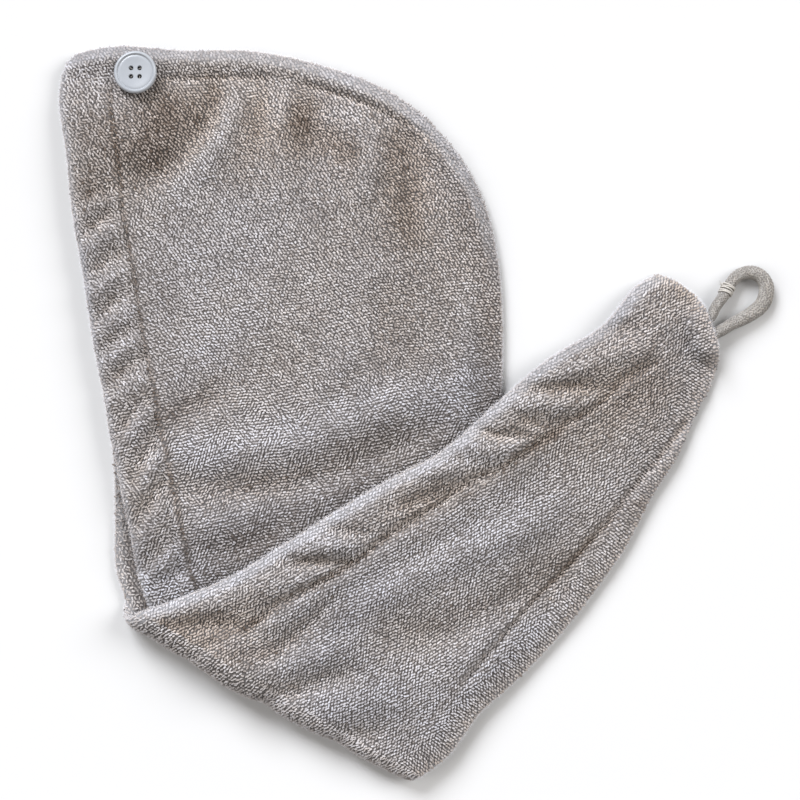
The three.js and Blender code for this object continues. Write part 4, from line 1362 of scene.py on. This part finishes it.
CORD = Curve(LOOP_ROUTE)
CORD_STEP = 0.004
CORD_SIDES = 20
CORD_SHARES = [0, 0.12, 0.3, 0.45, 0.6, 0.72, 0.86, 1]
CORD_WIDTHS = [6.0, 6.3, 6.9, 8.2, 9.0, 8.3, 6.9, 6.6]
CORD_THICK = 7.2
CORD_POINTS = 150
KNIT_COLUMNS = 16
KNIT_PITCH = 1.45
KNIT_TURN = math.radians(34)
KNIT_RISE = 0.3

# A stitch is this large, and wider by a share of the cord's half width.
KNIT_SIZE = (1.3, 0.02, 0.42)
KNIT_SPREAD = 0.13

WHIPPING_PLACE = 0.235
WHIPPING_TURNS = 4.5
WHIPPING_SIDES = 26
WHIPPING_PITCH = 1.15
WHIPPING_THREAD = 0.42

# The knot's rings of thread, each with its tilt and its radius, and the ends, each with its bend and reach.
KNOT_PLACE = WHIPPING_PLACE + 0.012
KNOT_HEIGHT = 1.6
KNOT_THREAD = 0.3
KNOT_RINGS = ((0, 0.75), (60, 0.6), (120, 0.68))
THREAD_ENDS = ((0.5, 2.6), (-0.35, 2.0), (0.1, 1.5))
END_RADII = np.linspace(0.2, 0.09, 7)


def cord_frames(share, out, up_out):
    """Centres and ways ahead at shares of the cord, and how far its side and its top are from there."""
    ahead = unit(CORD.at(share + CORD_STEP) - CORD.at(share - CORD_STEP))
    across, up = sideways(ahead)
    half_width = np.interp(share, CORD_SHARES, CORD_WIDTHS)[:, None] / 2
    return CORD.at(share), ahead, across * (half_width + out), up * (CORD_THICK / 2 + up_out)


def loop_tube(material):
    """The cord's body under its knit, and its middle line."""
    centre, _, side, top = cord_frames(np.linspace(0, 1, CORD_POINTS), -KNIT_RISE, -KNIT_RISE)
    return new_piece("loop_tube", *oval_tube(centre, side, top, CORD_SIDES), material, "cord"), centre


def loop_knit(material, seed):
    """Knitted stitches round the cord: columns that lean one way and the other."""
    loops = Loops(seed)
    shares = np.arange(0.01, 0.99, KNIT_PITCH / CORD.length)
    share, column = np.meshgrid(shares, np.arange(KNIT_COLUMNS), indexing="ij")
    share, column = share.ravel(), column.ravel()
    centre, ahead, side, top = cord_frames(share, -KNIT_RISE, -KNIT_RISE)
    angle = (column * 2 * np.pi / KNIT_COLUMNS + loops.random.normal(0, 0.03, len(column)))[:, None]
    half_width, half_height = (np.linalg.norm(way, axis=1, keepdims=True) for way in (side, top))
    outward = unit(turned(side / half_width**2, top / half_height**2, angle))
    lean = np.where(column % 2, KNIT_TURN, -KNIT_TURN)[:, None]
    ways = turned(ahead, np.cross(ahead, outward), lean)
    sizes = np.tile(KNIT_SIZE, (len(share), 1))
    sizes[:, 1] += half_width[:, 0] * KNIT_SPREAD
    loops.add(centre + turned(side, top, angle), outward, ways, sizes, 0.5)
    return pile("loop_knit", loops, material, slot="cord", rings=2, sides=5)


def whipping_turns():
    """Turns of sewing thread round the cord."""
    turn = np.linspace(0, WHIPPING_TURNS * 2 * np.pi, int(WHIPPING_TURNS * WHIPPING_SIDES))
    along = (turn / (2 * np.pi) - WHIPPING_TURNS / 2) * WHIPPING_PITCH
    along = along + 0.25 * np.sin(turn * 1.37) + 0.9 * np.sin(turn + 0.6)
    centre, _, side, top = cord_frames(WHIPPING_PLACE + along / CORD.length, 0.45, 0.3)
    return tube(centre + turned(side, top, turn[:, None]), WHIPPING_THREAD, 7)


def whipping_knot():
    """The knot beside the turns, and the thread's ends."""
    centre, _, side, top = (row[0] for row in cord_frames(np.array([KNOT_PLACE]), 0.5, 0))
    across, up = unit(side), unit(top)
    outward = -across if across[0] > 0 else across
    seat = centre + outward * np.linalg.norm(side) + up * KNOT_HEIGHT
    parts = []
    for turn_deg, size in KNOT_RINGS:
        first = turned(outward, up, math.radians(turn_deg))
        second = np.cross(first, unit(across + up * 0.4))
        ring = turned(first, second, np.linspace(0, 2 * np.pi, 15)[:, None])
        parts.append(tube(seat + ring * size, KNOT_THREAD, 6))
    for bend, reach in THREAD_ENDS:
        share = np.linspace(0, 1, len(END_RADII))[:, None]
        way = outward + (0, 0, 0.25) + np.cross(outward, up) * bend
        end = way * reach * share + np.array([0, 0, 0.6]) * share**2
        parts.append(tube(seat + end, END_RADII, 5))
    return parts


def loop_whipping(material):
    """The thread that binds the cord near the tip."""
    parts = [whipping_turns(), *whipping_knot()]
    piece = new_piece("loop_whipping_turns", *joined(parts), material, "thread")
    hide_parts("loop_whipping")
    return piece


# Materials: colours run from dark to light.

# The pile runs from a warm dark, as painted shade at the loops' feet, to a cool light, as painted light.
TERRY = [(0.106, 0.084, 0.07), (0.485, 0.457, 0.446), (0.885, 0.892, 0.947)]
# The cloth between the loops, coloured dark as painted shade between them; darkest under the tables' painted
# shade, and lighter on the edges.
GROUND_AND_SHADE = [(0.1, 0.092, 0.09), (0.2, 0.188, 0.183)]
PAINTED_SHADE = (0.045, 0.036, 0.03)
EDGE_GROUND = (0.24, 0.238, 0.245)
CORD_GROUND = [(0.12, 0.11, 0.1), (0.22, 0.2, 0.19)]
CORD_KNIT = [(0.17, 0.162, 0.149), (0.54, 0.516, 0.48)]
SEWING_THREAD = [(0.38, 0.36, 0.33), (0.6, 0.57, 0.53)]
BUTTON_PLASTIC = [(0.31, 0.33, 0.36), (0.35, 0.368, 0.395)]
COOL = (0.985, 0.99, 1.01)
WARM = (1.015, 1.0, 0.985)
# The two below tint the pile: cool as painted light, warm as painted shade.
PAINTED_LIGHT_TINT = (0.945, 0.985, 1.06)
PAINTED_SHADE_TINT = (1.05, 0.97, 0.885)
YARN_GLOSS = 0.2


class Nodes:
    """Short ways to build one material's node tree."""

    def __init__(self, name):
        self.material = bpy.data.materials.new(name)
        self.material.use_nodes = True
        self.tree = self.material.node_tree
        self.shader = self.tree.nodes["Principled BSDF"]
        self.place = self.add("ShaderNodeTexCoord").outputs["Object"]

    def feed(self, node, inputs):
        """Links a node's inputs to other sockets, or sets them to values."""
        for key, value in inputs.items():
            if isinstance(value, bpy.types.NodeSocket):
                self.tree.links.new(value, node.inputs[key])
            else:
                node.inputs[key].default_value = value

    def add(self, kind, inputs=None, **settings):
        node = self.tree.nodes.new(kind)
        for key, value in settings.items():
            setattr(node, key, value)
        self.feed(node, inputs or {})
        return node

    def read(self, name):
        """The number that a mesh carries at each point."""
        return self.add("ShaderNodeAttribute", attribute_name=name).outputs["Fac"]

    def noise(self, scale, detail=2.0, roughness=0.5):
        inputs = {"Vector": self.place, "Scale": scale, "Detail": detail, "Roughness": roughness}
        return self.add("ShaderNodeTexNoise", inputs).outputs["Fac"]

    def cells(self, scale):
        return self.add("ShaderNodeTexVoronoi", {"Vector": self.place, "Scale": scale}).outputs["Distance"]

    def ramp(self, value, stops):
        node = self.add("ShaderNodeValToRGB", {"Fac": value})
        points = node.color_ramp.elements
        while len(points) < len(stops):
            points.new(0.5)
        for point, (position, colour) in zip(points, stops):
            point.position = position
            point.color = (*colour, 1)
        return node.outputs["Color"]

    def blend(self, kind, first, second, share=1.0):
        inputs = {0: share, 6: first, 7: second}
        return self.add("ShaderNodeMix", inputs, data_type="RGBA", blend_type=kind).outputs[2]

    def colour(self, socket):
        self.feed(self.shader, {"Base Color": socket})

    def rough(self, value, low, high):
        spread = self.add("ShaderNodeMapRange", {"Value": value, "To Min": low, "To Max": high})
        self.feed(self.shader, {"Roughness": spread.outputs["Result"]})

    def bump(self, height, distance, strength):
        node = self.add("ShaderNodeBump", {"Height": height, "Distance": distance, "Strength": strength})
        self.feed(self.shader, {"Normal": node.outputs["Normal"]})

    def sheen(self, weight, roughness):
        gloss = {"Sheen Weight": weight, "Sheen Roughness": roughness, "Specular IOR Level": YARN_GLOSS}
        self.feed(self.shader, gloss)


def tinted(nodes, colour):
    """Broad patches that are a little warmer or cooler, as on worn towelling."""
    patch = nodes.ramp(nodes.noise(14, 3), [(0.35, COOL), (0.65, WARM)])
    return nodes.blend("MULTIPLY", colour, patch)


def pile_material(name, colours):
    """Loops of yarn: colours run from painted-shade feet to tops, with a painted warm or cool tint."""
    nodes = Nodes(name)
    stops = list(zip(np.linspace(0, 1, len(colours)), colours))
    tint = nodes.ramp(nodes.read("cool"), [(0, PAINTED_SHADE_TINT), (0.5, (1, 1, 1)), (1, PAINTED_LIGHT_TINT)])
    nodes.colour(tinted(nodes, nodes.blend("MULTIPLY", nodes.ramp(nodes.read("shade"), stops), tint)))
    nodes.rough(nodes.noise(900), 0.75, 0.95)
    nodes.bump(nodes.noise(2600, 3), 0.0002, 0.5)
    nodes.sheen(0.1, 0.5)
    return nodes.material


def ground_material(name, dark, light):
    """The cloth between and under the loops, coloured dark as painted shade, lighter on the edges."""
    nodes = Nodes(name)
    loops = nodes.cells(560)
    tone = nodes.read("tone")
    darkness = nodes.add("ShaderNodeMath", {0: tone, 1: -1.0}, operation="MULTIPLY", use_clamp=True)
    colour = nodes.ramp(loops, [(0.1, light), (0.6, dark)])
    colour = nodes.blend("MIX", colour, (*EDGE_GROUND, 1), tone)
    nodes.colour(tinted(nodes, nodes.blend("MIX", colour, (*PAINTED_SHADE, 1), darkness.outputs[0])))
    nodes.rough(nodes.noise(500), 0.85, 1.0)
    nodes.bump(loops, -0.0006, 0.8)
    nodes.sheen(0.2, 0.5)
    return nodes.material


def button_material():
    """Smooth plastic with a thin coat."""
    nodes = Nodes("button_plastic")
    nodes.colour(nodes.ramp(nodes.noise(60, 4), list(zip((0.3, 0.7), BUTTON_PLASTIC))))
    nodes.rough(nodes.noise(140, 4), 0.26, 0.4)
    nodes.bump(nodes.noise(300, 2), 0.00004, 0.3)
    nodes.feed(nodes.shader, {"Coat Weight": 0.25, "Coat Roughness": 0.2})
    return nodes.material


def thread_material(name, dark, light):
    """Yarn that is too thin for its loops to show."""
    nodes = Nodes(name)
    nodes.colour(nodes.ramp(nodes.noise(1500, 3), [(0.3, dark), (0.7, light)]))
    nodes.rough(nodes.noise(700), 0.6, 0.85)
    nodes.bump(nodes.noise(4000, 2), 0.0001, 0.6)
    nodes.sheen(0.2, 0.4)
    return nodes.material


# Stage

FLOOR_COLOUR = (0.588, 0.588, 0.588)
WORLD_STRENGTH = 0.32
WORLD_COLOUR = (1.05, 0.99, 0.94, 1)

# Lamps: name, where from, strength, spread in degrees, colour
LAMPS = [
    ("key", (-0.55, 1.0, 0.85), 4.0, 32, (0.965, 0.99, 1.04)),
    ("left", (-1.0, -0.1, 0.8), 1.0, 40, (1, 1, 1)),
    ("right", (1.0, 0.35, 0.8), 2.2, 34, (1, 1, 1)),
]


def stage_camera():
    camera = placed("camera", bpy.data.cameras.new("camera"))
    camera.location = (*CAMERA_AIM, CAMERA_HEIGHT)
    camera.data.sensor_width = SENSOR_WIDTH
    camera.data.lens = SENSOR_WIDTH * (CAMERA_HEIGHT - VIEW_LEVEL) / VIEW_WIDTH
    camera.data.clip_end = 100
    bpy.context.scene.camera = camera


def stage_floor():
    nodes = Nodes("floor_paper")
    shades = [(0.3, FLOOR_COLOUR), (0.7, tuple(0.99 * part for part in FLOOR_COLOUR))]
    nodes.colour(nodes.ramp(nodes.noise(3, 2), shades))
    nodes.rough(nodes.noise(20), 0.85, 0.95)
    size = 6.0
    mesh = bpy.data.meshes.new("floor")
    corners = [(-size, -size, 0), (size, -size, 0), (size, size, 0), (-size, size, 0)]
    mesh.from_pydata(corners, [], [(0, 1, 2, 3)])
    mesh.materials.append(nodes.material)
    placed("floor", mesh)


def stage_light():
    world = bpy.data.worlds.new("studio")
    bpy.context.scene.world = world
    world.use_nodes = True
    background = world.node_tree.nodes["Background"]
    background.inputs["Color"].default_value = WORLD_COLOUR
    background.inputs["Strength"].default_value = WORLD_STRENGTH
    for name, come_from, strength, spread, colour in LAMPS:
        lamp = placed(name, bpy.data.lights.new(name, "SUN"))
        lamp.data.energy = strength
        lamp.data.color = colour
        lamp.data.angle = math.radians(spread)
        lamp.rotation_euler = Vector(come_from).to_track_quat("Z", "Y").to_euler()
    bpy.context.scene.view_settings.view_transform = "Standard"


stage_camera()
stage_floor()
stage_light()

# Cord first, as it has to lie where its solids are

cord_ground = thread_material("cord_ground", *CORD_GROUND)
cord_knit = pile_material("cord_knit", CORD_KNIT)
sewing_thread = thread_material("sewing_thread", *SEWING_THREAD)
cord, cord_line = loop_tube(cord_ground)
knit = loop_knit(cord_knit, 3)
whipping = loop_whipping(sewing_thread)
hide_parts("loop_cord")

terry_ground_and_shade = ground_material("terry_ground_and_shade", *GROUND_AND_SHADE)
terry_loops = pile_material("terry_loops", TERRY)

front_panel = Panel("front_panel_cloth", True, terry_ground_and_shade)
back_panel = Panel("back_panel_cloth", False, terry_ground_and_shade)
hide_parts("front_panel")
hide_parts("back_panel")
hood_side = Side(FRONT_HOOD_OPEN, HOOD_SEAM, front_panel.part(front_panel.outer, front_panel.turn == -90))
tail_side = Side(TAIL_OPEN, TAIL_SEAM, back_panel.part(back_panel.outer, back_panel.turn == 90))
fold_face = back_panel.part(back_panel.outer, np.abs(back_panel.turn) < 90)
turned_face = back_panel.part(back_panel.inner, back_panel.turn < 0)

front_pile = [
    pile("pile_hood", top_pile(hood_side, HOOD_WEAVE, False, 11), terry_loops),
    pile("pile_hood_hem", top_pile(hood_side, HOOD_WEAVE, True, 12), terry_loops),
    pile("pile_rim_front", rim_pile(front_panel, 13), terry_loops),
    pile("pile_fuzz_front", fuzz(front_panel, 22), terry_loops, rings=1),
]
back_pile = [
    pile("pile_tail", top_pile(tail_side, TAIL_WEAVE, False, 14), terry_loops),
    pile("pile_tail_hem", top_pile(tail_side, TAIL_WEAVE, True, 15), terry_loops),
    pile("pile_fold", fold_pile(16), terry_loops),
    pile("pile_rim_back", rim_pile(back_panel, 17), terry_loops),
    pile("pile_turned_hem", turned_face_pile(18), terry_loops),
    pile("pile_under", under_pile(19), terry_loops, rings=1),
    pile("pile_fuzz_back", fuzz(back_panel, 20), terry_loops, rings=1),
]
stitches = pile("hem_stitches", hem_stitches(21), sewing_thread, slot="thread")
button_disc, button_thread = button(button_material(), sewing_thread)
